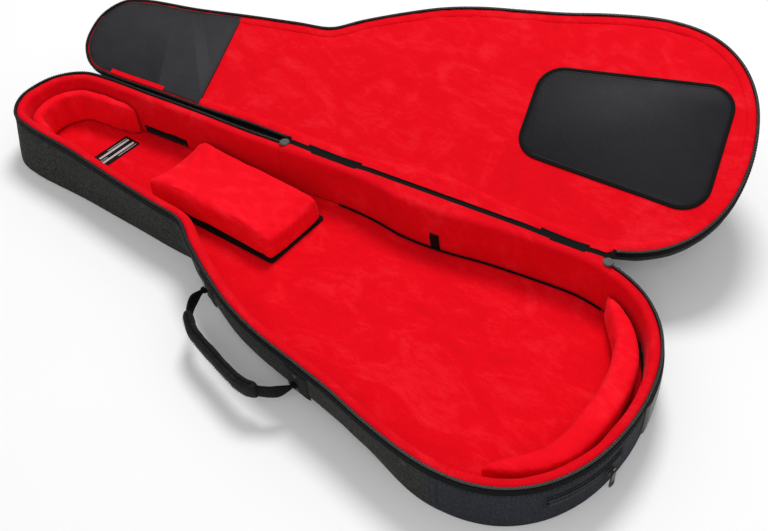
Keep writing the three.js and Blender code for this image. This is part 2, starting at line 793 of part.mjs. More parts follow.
add(
  "lid_tag",
  sweep(
    [
      [tapeInner - gap - 7, lidFace - sheet - gap - 0.8],
      [tapeInner - gap, lidFace - sheet - gap - 0.8],
      [tapeInner - gap, lidFace - sheet - gap],
      [tapeInner - gap - 7, lidFace - sheet - gap],
    ],
    tagFrom,
    tagTo,
  ),
  looks.plush(),
  lidGroup,
);

// The flat accessory pocket on the lid's outside, with a straight zip across it.
const pocketStart = 500;
const pocketInset = 26;
const pocketDeep = 12;
const pocketPlan = between(near(pocketStart), far(pocketStart)).map((t) => at(t, -pocketInset));
const pocketEdge = between(near(pocketStart), far(pocketStart)).map((t) => at(t, -pocketInset - 7));
pocketEdge[0].x += 7;
pocketEdge[pocketEdge.length - 1].x += 7;
const pocketFoot = lidBack + gap;
const pocketRows = [
  pocketPlan.map((p) => new THREE.Vector3(p.x, p.y, pocketFoot)),
  pocketPlan.map((p) => new THREE.Vector3(p.x, p.y, pocketFoot + pocketDeep - 5)),
  pocketEdge.map((p) => new THREE.Vector3(p.x, p.y, pocketFoot + pocketDeep)),
];
add("front_pocket", loft(pocketRows), looks.heather(), lidGroup);
const frontZipLength = 300;
const frontZipX = 745;
const frontZipY = -60;
const frontZipFoot = pocketFoot + pocketDeep + gap;
const box = (lx, ly, lz, x, y, z) => {
  const g = new THREE.BoxGeometry(lx, ly, lz);
  g.translate(x, y, z + lz / 2);
  return g;
};
const turnAbout = (g, x, y, angle) => g.translate(-x, -y, 0).rotateZ(angle).translate(x, y, 0);
const frontTurn = Math.atan(hingeSlope);
const frontZip = box(frontZipLength, 16, 1.4, frontZipX, frontZipY, frontZipFoot);
add("front_pocket_zip", turnAbout(frontZip, frontZipX, frontZipY, frontTurn), looks.coil(), lidGroup);
const frontSliderX = frontZipX - frontZipLength / 2 + 16;
const sliderFoot = frontZipFoot + 1.4 + gap;
const frontBody = plus(
  box(sliderLength, sliderHeight, sliderThick, frontSliderX, frontZipY, sliderFoot),
  box(postWidth, 2 * tabHead, bail + 1.2, frontSliderX, frontZipY, sliderFoot + sliderThick - 0.2),
);
add("front_pocket_slider", turnAbout(frontBody, frontZipX, frontZipY, frontTurn), looks.metal(), lidGroup);
// Its tab hangs plumb when the lid is open, turned about an axis along the zip.
const pivotZ = sliderFoot + sliderThick + bail;
const frontTabY = frontZipY + tabLength / 2 - tabHead;
const frontPull = minus(
  box(tabWidth, tabLength, tabThick, frontSliderX, frontTabY, pivotZ - tabThick / 2),
  box(postWidth + 2 * gap, 2 * forkDeep, 3 * tabThick, frontSliderX, frontZipY, pivotZ - 1.5 * tabThick),
);
frontPull.translate(0, -frontZipY, -pivotZ);
frontPull.rotateX(THREE.MathUtils.degToRad(90 - lidTilt));
frontPull.translate(0, frontZipY, pivotZ);
add("front_pocket_pull", turnAbout(frontPull, frontZipX, frontZipY, frontTurn), looks.metal(), lidGroup);

// Open the lid.
const opened = -THREE.MathUtils.degToRad(180 - lidTilt);
lidGroup.quaternion.setFromAxisAngle(hingeDir, opened);
lidGroup.position.copy(hingeFoot).sub(hingeFoot.clone().applyQuaternion(lidGroup.quaternion));

export default group;
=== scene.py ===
"""Soft electric-guitar case, open on its back: the finished look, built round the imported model."""
import json
import math

import bmesh
import bpy
import numpy as np
from mathutils import Matrix, Vector, noise


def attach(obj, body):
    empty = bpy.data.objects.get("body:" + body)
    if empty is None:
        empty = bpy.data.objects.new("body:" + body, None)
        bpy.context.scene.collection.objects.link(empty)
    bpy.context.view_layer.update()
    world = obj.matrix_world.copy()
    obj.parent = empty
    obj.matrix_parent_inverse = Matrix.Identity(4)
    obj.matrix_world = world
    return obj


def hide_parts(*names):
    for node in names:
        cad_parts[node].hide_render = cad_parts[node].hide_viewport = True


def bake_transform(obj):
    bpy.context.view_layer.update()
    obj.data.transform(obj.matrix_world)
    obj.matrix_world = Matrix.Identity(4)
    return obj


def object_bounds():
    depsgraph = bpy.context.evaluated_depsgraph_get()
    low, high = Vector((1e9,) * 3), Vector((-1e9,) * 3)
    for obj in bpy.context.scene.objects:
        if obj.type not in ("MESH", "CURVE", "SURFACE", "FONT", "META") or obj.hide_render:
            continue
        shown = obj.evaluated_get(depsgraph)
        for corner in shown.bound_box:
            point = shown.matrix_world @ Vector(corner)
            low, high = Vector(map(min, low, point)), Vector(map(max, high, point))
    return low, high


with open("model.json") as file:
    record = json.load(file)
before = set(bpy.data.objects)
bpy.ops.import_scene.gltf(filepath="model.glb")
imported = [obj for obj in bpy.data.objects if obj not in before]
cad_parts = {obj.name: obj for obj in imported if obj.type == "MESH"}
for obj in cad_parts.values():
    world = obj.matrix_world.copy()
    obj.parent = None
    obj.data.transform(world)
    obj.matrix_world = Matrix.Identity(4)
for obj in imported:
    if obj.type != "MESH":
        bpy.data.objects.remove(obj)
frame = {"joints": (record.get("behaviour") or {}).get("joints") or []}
cad_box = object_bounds()
MM = 0.001
JOINTS = {j["name"]: j for j in frame["joints"]}

# ---- Sizes, in millimetres, as the model has them: x runs from the head end to the tail ----
LENGTH = 1040
HEAD_W, NECK_W, SHOULDER_W, UPPER_W, LOWER_W = 118, 147, 170, 269, 343
HEAD_ROUND, NECK_X, SHOULDER_X, SHOULDER_RUN, TAIL_ROUND = 60, 250, 400, 200, 165
WALL, SKIN, GAP = 16.0, 13.0, 0.3
TRAY = 83.0
AXIS_Z = 88.0
LID_RIM = 2 * AXIS_Z - TRAY
LID_DEEP = 24.0
LID_BACK = LID_RIM + LID_DEEP
HINGE_HEAD, HINGE_TAIL, HINGE_SLOPE = SHOULDER_X + 5, LENGTH - 125, 0.13
SEAM_X = LENGTH - 135
LINING_EDGE = 12.5  # how far out the plush's rolled edge reaches
CUSHION_Z = 12.5  # the underside of the two crescent cushions
CRADLE_X, CRADLE_LONG, CRADLE_WIDE, CRADLE_TAPER, CRADLE_SKEW = NECK_X + 14, 240, 118, 5, 5
CRADLE_Z = 15.7  # the underside of the cradle's plush, on its board
HANDLE_AT = {"head": 496, "tail": 690}  # the middles of the handle's patches
LID_TILT = 21  # degrees that the open lid leans above level


# ---- The outline of the tray, by length along it ----
def control_points():
    bout, tail = SHOULDER_X + SHOULDER_RUN + 20, LENGTH - TAIL_ROUND
    rows = [
        (0.07 * HEAD_ROUND, 0.22 * HEAD_W, 1),
        (0.42 * HEAD_ROUND, 0.43 * HEAD_W, 2),
        (HEAD_ROUND, HEAD_W / 2, 4),
        ((HEAD_ROUND + NECK_X) / 2, (HEAD_W + NECK_W) / 4 - 1, 10),
        (NECK_X, NECK_W / 2, 14),
        ((NECK_X + SHOULDER_X) / 2 + 10, (NECK_W + SHOULDER_W) / 4, 17),
        (SHOULDER_X, SHOULDER_W / 2, 20.5),
    ]
    for share, rise, shift in ((0.24, 0.32, 12.5), (0.55, 0.68, 4), (0.82, 0.9, -4)):
        half = SHOULDER_W / 2 + rise * (UPPER_W - SHOULDER_W) / 2
        rows.append((SHOULDER_X + share * SHOULDER_RUN, half, shift))
    rows.append((bout, UPPER_W / 2, -10.5))
    for share, rise, shift in ((0.25, 0.2, -9.5), (0.5, 0.5, -5), (0.75, 0.8, -4)):
        half = UPPER_W / 2 + rise * (LOWER_W - UPPER_W) / 2
        rows.append((bout + share * (tail - bout), half, shift))
    for share in (0, 0.22, 0.42, 0.6, 0.76, 0.88, 0.96):
        half = LOWER_W / 2 * (1 - share**2.6) ** (1 / 2.15)
        rows.append((tail + share * TAIL_ROUND, half, -2 * (1 - share)))
    near = [(x, shift - half) for x, half, shift in rows]
    far = [(x, shift + half) for x, half, shift in reversed(rows)]
    return np.array([(0, 1), *near, (LENGTH, 0), *far], float)


def closed_spline(points, per_span):
    """A closed centripetal Catmull-Rom curve through the points."""
    out = []
    n = len(points)
    for k in range(n):
        p0, p1, p2, p3 = (points[(k + i) % n] for i in (-1, 0, 1, 2))
        d0, d1, d2 = (np.linalg.norm(b - a) ** 0.5 for a, b in ((p0, p1), (p1, p2), (p2, p3)))
        t1 = ((p1 - p0) / d0 - (p2 - p0) / (d0 + d1) + (p2 - p1) / d1) * d1
        t2 = ((p2 - p1) / d1 - (p3 - p1) / (d1 + d2) + (p3 - p2) / d2) * d1
        for w in np.arange(per_span) / per_span:
            a = 2 * p1 - 2 * p2 + t1 + t2
            b = -3 * p1 + 3 * p2 - 2 * t1 - t2
            out.append(a * w**3 + b * w**2 + t1 * w + p1)
    return np.array(out)


LINE = closed_spline(control_points(), 24)
STEPS = np.linalg.norm(np.roll(LINE, -1, 0) - LINE, axis=1)
RUN = np.concatenate([[0], np.cumsum(STEPS)])
ROUND = RUN[-1]
LOOP = np.vstack([LINE, LINE[:1]])
TAIL_AT = int(np.argmax(LINE[:, 0]))


def rim(s, offset=0.0):
    """Points of the outline at the lengths s, moved outwards by offset, and its outward normals."""
    s = np.atleast_1d(np.asarray(s, float))

    def point(u):
        u = np.mod(u, ROUND)
        return np.stack([np.interp(u, RUN, LOOP[:, i]) for i in (0, 1)], 1)

    d = point(s + 2.5) - point(s - 2.5)
    d /= np.linalg.norm(d, axis=1)[:, None]
    normal = np.stack([d[:, 1], -d[:, 0]], 1)
    return point(s) + normal * np.reshape(offset, (-1, 1)), normal


def near(x):
    return float(np.interp(x, LOOP[: TAIL_AT + 1, 0], RUN[: TAIL_AT + 1]))


def far(x):
    return float(np.interp(-x, -LOOP[TAIL_AT:, 0], RUN[TAIL_AT:]))


TAIL_S = float(RUN[TAIL_AT])
HINGE_S0, HINGE_S1 = far(HINGE_TAIL), far(HINGE_HEAD)
HINGE_Y0 = JOINTS["lid_hinge"]["pos_m"][1] / MM - HINGE_SLOPE * JOINTS["lid_hinge"]["pos_m"][0] / MM
HINGE_DIR = Vector((1, HINGE_SLOPE, 0)).normalized()
HINGE_FOOT = Vector((0, HINGE_Y0, AXIS_Z))
OPEN = (
    Matrix.Translation(HINGE_FOOT)
    @ Matrix.Rotation(-math.radians(180 - LID_TILT), 4, HINGE_DIR)
    @ Matrix.Translation(-HINGE_FOOT)
)


def opened(points):
    """Points of the closed lid, in millimetres, as they lie when it is open."""
    m = np.array(OPEN)
    return np.asarray(points, float) @ m[:3, :3].T + m[:3, 3]


# ---- Materials ----
class Look:
    """A node material with short calls for the nodes it needs."""

    def __init__(self, name, roughness, **sockets):
        self.mat = bpy.data.materials.new(name)
        self.mat.use_nodes = True
        self.tree = self.mat.node_tree
        self.bsdf = self.tree.nodes["Principled BSDF"]
        self.bsdf.inputs["Roughness"].default_value = roughness
        for key, value in sockets.items():
            self.bsdf.inputs[key.replace("_", " ")].default_value = value
        self.place = self.node("ShaderNodeTexCoord").outputs["Object"]

    def node(self, kind, values=None, **settings):
        n = self.tree.nodes.new(kind)
        for key, value in settings.items():
            setattr(n, key, value)
        for key, value in (values or {}).items():
            if isinstance(value, bpy.types.NodeSocket):
                self.tree.links.new(value, n.inputs[key])
            else:
                n.inputs[key].default_value = value
        return n

    def stretched(self, scale, turn=(0, 0, 0), source=None):
        values = {"Vector": source or self.place, "Scale": scale, "Rotation": turn}
        return self.node("ShaderNodeMapping", values).outputs["Vector"]

    def noise(self, scale, detail=3, rough=0.5, twist=0.0, source=None):
        values = {
            "Vector": source or self.place,
            "Scale": scale,
            "Detail": detail,
            "Roughness": rough,
            "Distortion": twist,
        }
        return self.node("ShaderNodeTexNoise", values).outputs["Fac"]

    def ramp(self, fac, stops):
        n = self.node("ShaderNodeValToRGB", {"Fac": fac})
        while len(n.color_ramp.elements) < len(stops):
            n.color_ramp.elements.new(0.5)
        for e, (at, colour) in zip(n.color_ramp.elements, stops):
            e.position = at
            e.color = (*colour, 1)
        return n.outputs["Color"]

    def mix(self, kind, a, b, fac=1.0):
        n = self.node("ShaderNodeMix", data_type="RGBA", blend_type=kind)
        for key, value in ((0, fac), (6, a), (7, b)):
            if isinstance(value, bpy.types.NodeSocket):
                self.tree.links.new(value, n.inputs[key])
            else:
                n.inputs[key].default_value = value if key == 0 else (*value, 1)
        return n.outputs[2]

    def maths(self, kind, a, b=0.0):
        return self.node("ShaderNodeMath", {0: a, 1: b}, operation=kind).outputs[0]

    def finish(self, colour, height, depth, strength=1.0, roughness=None):
        self.tree.links.new(colour, self.bsdf.inputs["Base Color"])
        values = {"Height": height, "Distance": depth, "Strength": strength}
        bump = self.node("ShaderNodeBump", values)
        self.tree.links.new(bump.outputs["Normal"], self.bsdf.inputs["Normal"])
        if roughness is not None:
            self.tree.links.new(roughness, self.bsdf.inputs["Roughness"])
        return self.mat


def plush(name, tint, tilt=0.0):
    """Short-pile velour: smears of painted sheen and painted shade where the pile lies one way or the
    other, over fine fibres.
    """
    look = Look(name, 0.85, Sheen_Weight=0.1, Sheen_Roughness=0.4, Specular_IOR_Level=0.06)
    look.bsdf.inputs["Sheen Tint"].default_value = (1, 0.2, 0.25, 1)
    sheen_smear = look.noise(9, 5, 0.62, 1.6, look.stretched((1, 1.7, 1), (0, 0, 0.5 + tilt)))
    sheen_and_bump_brush = look.noise(46, 4, 0.6, 0.9, look.stretched((1, 2.6, 1.4), (0, 0, -0.7 + tilt)))
    fibre = look.noise(820, 2, 0.7)
    tone = look.maths("ADD", look.maths("MULTIPLY", sheen_smear, 0.66), look.maths("MULTIPLY", sheen_and_bump_brush, 0.34))
    # The smears' lighter, paler tone is painted sheen and their darker tone is painted shade; the fine
    # fibre grain is the cloth's own.
    dark, mid, light = ([c * k for c in tint] for k in (0.9, 1.0, 1.07))
    light = [light[0], light[1] + 0.008, light[2] + 0.011]
    colour = look.ramp(tone, [(0.34, dark), (0.5, mid), (0.66, light)])
    grain = look.ramp(fibre, [(0.3, (0.86, 0.86, 0.86)), (0.7, (1.08, 1.08, 1.08))])
    colour = look.mix("MULTIPLY", colour, grain)
    height = look.maths("ADD", look.maths("MULTIPLY", sheen_and_bump_brush, 1.5), fibre)
    return look.finish(colour, height, 0.0006, 0.35)


def heather(name, dark, light, scale=900):
    """Melange canvas: crossed yarns with paler flecks."""
    look = Look(name, 0.9, Sheen_Weight=0.03, Specular_IOR_Level=0.12)
    warp = look.noise(scale * 0.22, 2, 0.6, 0, look.stretched((1, 1, 5)))
    weft = look.noise(scale * 0.22, 2, 0.6, 0, look.stretched((4.5, 4.5, 1)))
    fleck = look.maths("MAXIMUM", warp, weft)
    cloud = look.noise(14, 3)
    colour = look.ramp(fleck, [(0.44, dark), (0.6, light), (0.74, [c * 3.0 for c in light])])
    shade = look.ramp(cloud, [(0.3, (0.86, 0.86, 0.86)), (0.7, (1.12, 1.12, 1.12))])
    height = look.maths("ADD", fleck, look.noise(scale, 2))
    return look.finish(look.mix("MULTIPLY", colour, shade), height, 0.0005, 0.5)


def grained(name, dark, light, scale, roughness, depth=0.0003, gloss=0.4):
    """A coated cloth or moulded skin with a pebbled grain."""
    look = Look(name, roughness, Specular_IOR_Level=gloss)
    cells = look.node("ShaderNodeTexVoronoi", {"Vector": look.place, "Scale": scale}).outputs["Distance"]
    cloud = look.noise(22, 4, 0.6, 0.6)
    tone = look.maths("ADD", look.maths("MULTIPLY", cells, 0.5), look.maths("MULTIPLY", cloud, 0.6))
    colour = look.ramp(tone, [(0.3, dark), (0.75, light)])
    rough = look.maths("ADD", look.maths("MULTIPLY", cloud, 0.25), roughness - 0.12)
    return look.finish(colour, look.maths("ADD", cells, look.noise(scale * 2.2, 2)), depth, 0.5, rough)


def ribbed(name, dark, light, scale, roughness):
    """Woven tape: fine ribs crossed by yarn."""
    look = Look(name, roughness, Specular_IOR_Level=0.12)
    wave = look.node(
        "ShaderNodeTexWave",
        {"Vector": look.place, "Scale": scale, "Distortion": 0.6, "Detail": 2},
        bands_direction="DIAGONAL",
    ).outputs["Fac"]
    yarn = look.noise(scale * 3, 3)
    tone = look.maths("ADD", look.maths("MULTIPLY", wave, 0.5), look.maths("MULTIPLY", yarn, 0.5))
    colour = look.ramp(tone, [(0.25, dark), (0.8, light)])
    return look.finish(colour, tone, 0.0003, 0.6)


def fuzzy(name, dark, light):
    """The loop side of a hook-and-loop tape."""
    look = Look(name, 0.95, Sheen_Weight=0.03, Specular_IOR_Level=0.08)
    loops = look.node("ShaderNodeTexVoronoi", {"Vector": look.place, "Scale": 620}).outputs["Distance"]
    fluff = look.noise(1200)
    tone = look.maths("ADD", look.maths("MULTIPLY", loops, 0.6), look.maths("MULTIPLY", fluff, 0.5))
    return look.finish(look.ramp(tone, [(0.25, dark), (0.8, light)]), tone, 0.0008, 0.8)


def worn_metal(name, dark, light):
    """Plated metal with fine scratches."""
    look = Look(name, 0.34, Metallic=0.9)
    wear = look.noise(160, 5, 0.65, 0.4)
    scratch = look.noise(420, 3, 0.6, 0, look.stretched((1, 1, 9)))
    colour = look.ramp(wear, [(0.35, dark), (0.7, light)])
    rough = look.maths("ADD", look.maths("MULTIPLY", scratch, 0.3), 0.2)
    return look.finish(colour, scratch, 0.0001, 0.3, rough)


RED = (0.74, 0.0012, 0.008)
LOOKS = {
    "plush": plush("red_plush", RED),
    # One red plush in three copies: the walls' copy is darker, painted shade, and the cushions' copy is
    # lighter and paler, painted light.
    "plush_painted_shade_wall": plush("red_plush_painted_shade_wall", (0.70, 0.0012, 0.008), 0.9),
    "plush_painted_light_pad": plush("red_plush_painted_light_pad", (0.84, 0.003, 0.012), 0.3),
    "heather": heather("charcoal_melange", (0.004, 0.004, 0.0038), (0.026, 0.026, 0.0235)),
    "smooth": heather("navy_black_canvas", (0.007, 0.008, 0.0105), (0.019, 0.0225, 0.030), 1500),
    "grip": heather("black_canvas_padding", (0.0022, 0.0022, 0.0022), (0.012, 0.012, 0.0115), 1300),
    "tape": ribbed("black_zip_tape", (0.0008, 0.0007, 0.0007), (0.0045, 0.004, 0.004), 500, 0.75),
    "coil": grained("black_nylon_coil", (0.003, 0.003, 0.003), (0.011, 0.011, 0.011), 1400, 0.42),
    "patch": grained(
        "dark_grained_patch", (0.0035, 0.0033, 0.0045), (0.012, 0.0115, 0.0145), 950, 0.6, gloss=0.22
    ),
    "patch_head": grained(
        "grey_grained_patch", (0.0075, 0.0072, 0.0088), (0.024, 0.023, 0.027), 950, 0.6, gloss=0.25
    ),
    "rubber": grained(
        "black_gloss_bumper", (0.002, 0.002, 0.0025), (0.007, 0.007, 0.008), 420, 0.36, 0.0004, 0.45
    ),
    "velcro": fuzzy("black_hook_and_loop", (0.0008, 0.0008, 0.0008), (0.005, 0.005, 0.005)),
    "metal": worn_metal("dark_nickel", (0.03, 0.03, 0.03), (0.10, 0.10, 0.105)),
    "stop": grained("grey_moulded_stop", (0.03, 0.03, 0.03), (0.09, 0.09, 0.088), 700, 0.5, gloss=0.3),
    "label": ribbed("black_label_satin", (0.0012, 0.0012, 0.0012), (0.005, 0.005, 0.005), 900, 0.6),
    "thread": ribbed("grey_black_thread", (0.006, 0.006, 0.006), (0.03, 0.03, 0.03), 1500, 0.6),
    "bar": ribbed("pale_woven_thread", (0.35, 0.35, 0.35), (0.6, 0.6, 0.6), 1500, 0.7),
}


# ---- Mesh helpers ----
def piece(name, points, faces, body, look, replaces=(), crease=38, lid=False):
    """A mesh object from points in millimetres, riding on a body."""
    points = opened(points) if lid else np.asarray(points, float)
    mesh = bpy.data.meshes.new(name)
    mesh.from_pydata((points * MM).tolist(), [], [tuple(map(int, f)) for f in faces])
    edit = bmesh.new()
    edit.from_mesh(mesh)
    bmesh.ops.remove_doubles(edit, verts=edit.verts, dist=1e-6)
    bmesh.ops.recalc_face_normals(edit, faces=edit.faces)
    edit.to_mesh(mesh)
    edit.free()
    return settle(bpy.data.objects.new(name, mesh), body, look, replaces, crease)


def settle(obj, body, look, replaces=(), crease=38):
    """Links an object to the scene, gives it its body and material, and hides the CAD nodes it replaces.
    """
    if obj.name not in bpy.context.scene.collection.objects:
        bpy.context.scene.collection.objects.link(obj)
    mesh = obj.data
    mesh.shade_smooth()
    if crease < 180:
        mesh.set_sharp_from_angle(angle=math.radians(crease))
    mesh.materials.clear()
    mesh.materials.append(LOOKS[look])
    if replaces:
        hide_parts(*replaces)
    if body:
        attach(obj, body)
    return obj


def grid_faces(rows, cols, close_rows=False, close_cols=True, ends=True, start=0):
    """Faces of a grid of rows of points, with flat ends where it isn't closed."""
    faces = []
    for i in range(rows if close_rows else rows - 1):
        a, b = start + i * cols, start + ((i + 1) % rows) * cols
        for j in range(cols if close_cols else cols - 1):
            k = (j + 1) % cols
            faces.append((a + j, a + k, b + k, b + j))
    if ends and not close_rows:
        faces.append(tuple(start + j for j in range(cols)))
        faces.append(tuple(start + (rows - 1) * cols + j for j in reversed(range(cols))))
    return faces


def swept(profile, s0, s1, step=4.0, closed=False):
    """A profile of (offset, z) corners carried along the outline: its points and faces."""
    count = max(3, int(abs(s1 - s0) / step) + 1)
    s = np.linspace(s0, s1, count, endpoint=not closed)
    make = profile if callable(profile) else lambda share, at: profile
    rows = np.array([make(i / (count - 1), v) for i, v in enumerate(s)], float)
    base, normal = rim(s)
    xy = base[:, None, :] + normal[:, None, :] * rows[:, :, :1]
    points = np.concatenate([xy, rows[:, :, 1:2]], 2).reshape(-1, 3)
    return points, grid_faces(count, rows.shape[1], close_rows=closed)


def sweep(name, profile, s0, s1, body, look, replaces=(), step=4.0, closed=False, lid=False, crease=38):
    points, faces = swept(profile, s0, s1, step, closed)
    return piece(name, points, faces, body, look, replaces, crease, lid)


def soften(obj, amount, size, seed=0, where=None, stretch=(1, 1, 1)):
    """Moves the surface in and out along its normals, by up to amount, in waves of about size (mm)."""
    mesh = obj.data
    normals = [v.normal.copy() for v in mesh.vertices]
    shift = Vector((seed * 3.1, seed * 1.7, seed * 0.9))
    for v, n in zip(mesh.vertices, normals):
        p = Vector(c / MM / size * k for c, k in zip(v.co, stretch))
        wave = noise.noise(p + shift) + 0.4 * noise.noise(p * 2.3 + shift)
        v.co += n * (wave * amount * MM * (where(v.co / MM) if where else 1))
    mesh.update()
    return obj


def tube(path, radius, sides=8, up=(0, 0, 1)):
    """Points and faces of a round tube along a path."""
    path = np.asarray(path, float)
    d = np.gradient(path, axis=0)
    d /= np.linalg.norm(d, axis=1)[:, None]
    a = np.cross(d, np.array(up, float))
    a /= np.linalg.norm(a, axis=1)[:, None]
    b = np.cross(a, d)
    angle = np.arange(sides) * 2 * math.pi / sides
    ring = a[:, None] * np.cos(angle)[None, :, None] + b[:, None] * np.sin(angle)[None, :, None]
    return (path[:, None] + ring * radius).reshape(-1, 3), grid_faces(len(path), sides)


def joined(parts):
    points, faces, start = [], [], 0
    for p, f in parts:
        points.append(np.asarray(p, float))
        faces += [tuple(i + start for i in face) for face in f]
        start += len(p)
    return np.vstack(points), faces


def stitches(name, path, normals, body, length=3.0, space=1.5, radius=0.34, lid=False):
    """A row of short raised stitches along a path of points."""
    path, normals = np.asarray(path, float), np.asarray(normals, float)
    run = np.concatenate([[0], np.cumsum(np.linalg.norm(np.diff(path, axis=0), axis=1))])

    def at(u, rows):
        return np.stack([np.interp(u, run, rows[:, i]) for i in range(3)], 1)

    start = np.arange(space, run[-1] - length, length + space)
    a, b = at(start, path), at(start + length, path)
    n = at(start + length / 2, normals)
    n /= np.linalg.norm(n, axis=1)[:, None]
    along = b - a
    side = np.cross(along, n)
    side /= np.linalg.norm(side, axis=1)[:, None]
    rows = []
    for share, lift, wide in ((0, 0.0, 0.35), (0.25, 0.9, 1), (0.75, 0.9, 1), (1, 0.0, 0.35)):
        middle = a + along * share + n * radius * lift
        for u, v in ((1, 0), (0, 1), (-1, 0), (0, -1)):
            rows.append(middle + side * radius * wide * u + n * radius * wide * v * 0.8)
    points = np.stack(rows, 1).reshape(-1, 3)
    faces = [f for k in range(len(start)) for f in grid_faces(4, 4, start=16 * k)]
    return piece(name, points, faces, body, "thread", (), 60, lid)


def rim_stitches(name, s0, s1, offset, z, body, lid=False, **kw):
    s = np.arange(s0, s1, 4.0)
    p, n = rim(s, offset)
    path = np.column_stack([p, np.full(len(s), float(z))])
    return stitches(name, path, np.column_stack([n, np.zeros(len(s))]), body, lid=lid, **kw)


def upright_stitches(name, s, offset, z, **kw):
    """A row of stitches up the wall at the length s, through the heights z."""
    p, n = rim([s], offset)
    path = np.column_stack([np.repeat(p, len(z), 0), z])
    return stitches(name, path, np.column_stack([np.repeat(n, len(z), 0), 0 * z]), "base", **kw)


def teeth(name, s0, s1, z0, up, body, replaces, lid=False):
    """The coil of a zip: a low cord with a tooth every 2.7 mm."""
    cord = swept([(12.9, z0), (15.9, z0), (15.9, z0 + up * 0.9), (12.9, z0 + up * 0.9)], s0, s1)
    s = np.arange(s0 + 2, s1 - 2, 2.7)
    p, n = rim(s, 14.4)
    t = np.stack([-n[:, 1], n[:, 0]], 1)
    rows = []
    for z, wide, thick in ((z0 + up * 0.7, 1.65, 0.95), (z0 + up * 1.75, 1.25, 0.6)):
        for u, v in ((1, 1), (-1, 1), (-1, -1), (1, -1)):
            q = p + n * wide * u + t * thick * v
            rows.append(np.column_stack([q, np.full(len(s), z)]))
    points = np.stack(rows, 1).reshape(-1, 3)
    faces = [f for k in range(len(s)) for f in grid_faces(2, 4, start=8 * k)]
    points, faces = joined([cord, (points, faces)])
    return piece(name, points, faces, body, "coil", replaces, 30, lid)


def across(x, offset):
    """The near and far y of the outline at the distance x, moved outwards by offset."""
    p, _ = rim(np.linspace(0, ROUND, 1200, endpoint=False), offset)
    tail, head = int(np.argmax(p[:, 0])), int(np.argmin(p[:, 0]))
    order = np.roll(p, -head, 0)
    tail = (tail - head) % len(p)
    a, b = order[: tail + 1], np.vstack([order[tail:], order[:1]])
    low = np.interp(x, np.maximum.accumulate(a[:, 0]), a[:, 1])
    high = np.interp(-np.asarray(x), np.maximum.accumulate(-b[:, 0]), b[:, 1])
    return low, high, p[:, 0].min(), p[:, 0].max()


def plate(offset, z0, z1, top, cols=44, step=9.0, inset=None):
    """A flat piece with the outline's plan. top(x, y) lifts its upper face."""
    _, _, x0, x1 = across([0], offset)
    count = int((x1 - x0) / step)
    turn = np.linspace(0, math.pi, count)
    x = x0 + (x1 - x0) * (0.35 * (1 - np.cos(turn)) / 2 + 0.65 * np.linspace(0, 1, count))
    low, high, _, _ = across(x, offset)
    if inset:
        low = low + [inset(v) for v in x]
    across_share = (1 - np.cos(np.linspace(0, math.pi, cols))) / 2 * 0.4 + 0.6 * np.linspace(0, 1, cols)
    grid = np.zeros((count, cols, 3))
    grid[:, :, 0] = x[:, None]
    grid[:, :, 1] = low[:, None] + (high - low)[:, None] * across_share[None]
    upper, lower = grid.copy(), grid.copy()
    lower[:, :, 2] = z0
    upper[:, :, 2] = z1
    if top:
        for i in range(count):
            for j in range(cols):
                upper[i, j, 2] += top(*upper[i, j, :2])
    points = np.vstack([upper.reshape(-1, 3), lower.reshape(-1, 3)])
    n = count * cols
    faces = grid_faces(count, cols, close_cols=False, ends=False)
    faces += [tuple(reversed([i + n for i in f])) for f in faces]
    edge = list(range(cols))
    edge += [i * cols + cols - 1 for i in range(1, count)]
    edge += [(count - 1) * cols + j for j in range(cols - 2, -1, -1)]
    edge += [i * cols for i in range(count - 2, 0, -1)]
    for k, a in enumerate(edge):
        b = edge[(k + 1) % len(edge)]
        faces.append((a, a + n, b + n, b))
    return points, faces


def rounded_box(cx, cy, length, width, radius, turn=0.0, steps=8):
    points = []
    for sx, sy, start in ((1, 1, 0), (-1, 1, 90), (-1, -1, 180), (1, -1, 270)):
        for i in range(steps + 1):
            angle = math.radians(start + 90 * i / steps)
            x = sx * (length / 2 - radius) + radius * math.cos(angle)
            y = sy * (width / 2 - radius) + radius * math.sin(angle)
            c, s = math.cos(turn), math.sin(turn)
            points.append((cx + x * c - y * s, cy + x * s + y * c))
    return np.array(points)


def stack(outlines):
    """A solid through flat outlines [(points, z), ...] of the same number of corners."""
    points = np.vstack([np.column_stack([p, np.full(len(p), float(z))]) for p, z in outlines])
    return points, grid_faces(len(outlines), len(outlines[0][0]))


VOXEL, PRESSURE, CAP, FRAMES = 5.0, 4.0, 4.0, 20


def simulate(obj):
    """Swells a closed shape as stuffed cloth, and keeps every point within CAP of its place."""
    remesh = obj.modifiers.new("remesh", "REMESH")
    remesh.mode = "VOXEL"
    remesh.voxel_size = VOXEL * MM
    apply_all(obj)
    before = np.array([v.co for v in obj.data.vertices])
    cloth = obj.modifiers.new("cloth", "CLOTH")
    settings = cloth.settings
    settings.use_pressure = True
    settings.uniform_pressure_force = PRESSURE
    settings.effector_weights.gravity = 0
    settings.quality = 6
    settings.tension_stiffness = settings.compression_stiffness = 12
    settings.shear_stiffness = 8
    settings.bending_stiffness = 1.5
    cloth.collision_settings.use_collision = False
    cloth.point_cache.frame_start, cloth.point_cache.frame_end = 1, FRAMES
    for f in range(1, FRAMES + 1):
        bpy.context.scene.frame_set(f)
    apply_all(obj)
    bpy.context.scene.frame_set(1)
    after = np.array([v.co for v in obj.data.vertices])
    move = after - before
    size = np.linalg.norm(move, axis=1)
    scale = np.minimum(1, CAP * MM / np.maximum(size, 1e-9))
    obj.data.vertices.foreach_set("co", (before + move * scale[:, None]).ravel())
    relax = obj.modifiers.new("smooth", "SMOOTH")
    relax.factor, relax.iterations = 0.5, 3
    return apply_all(obj)


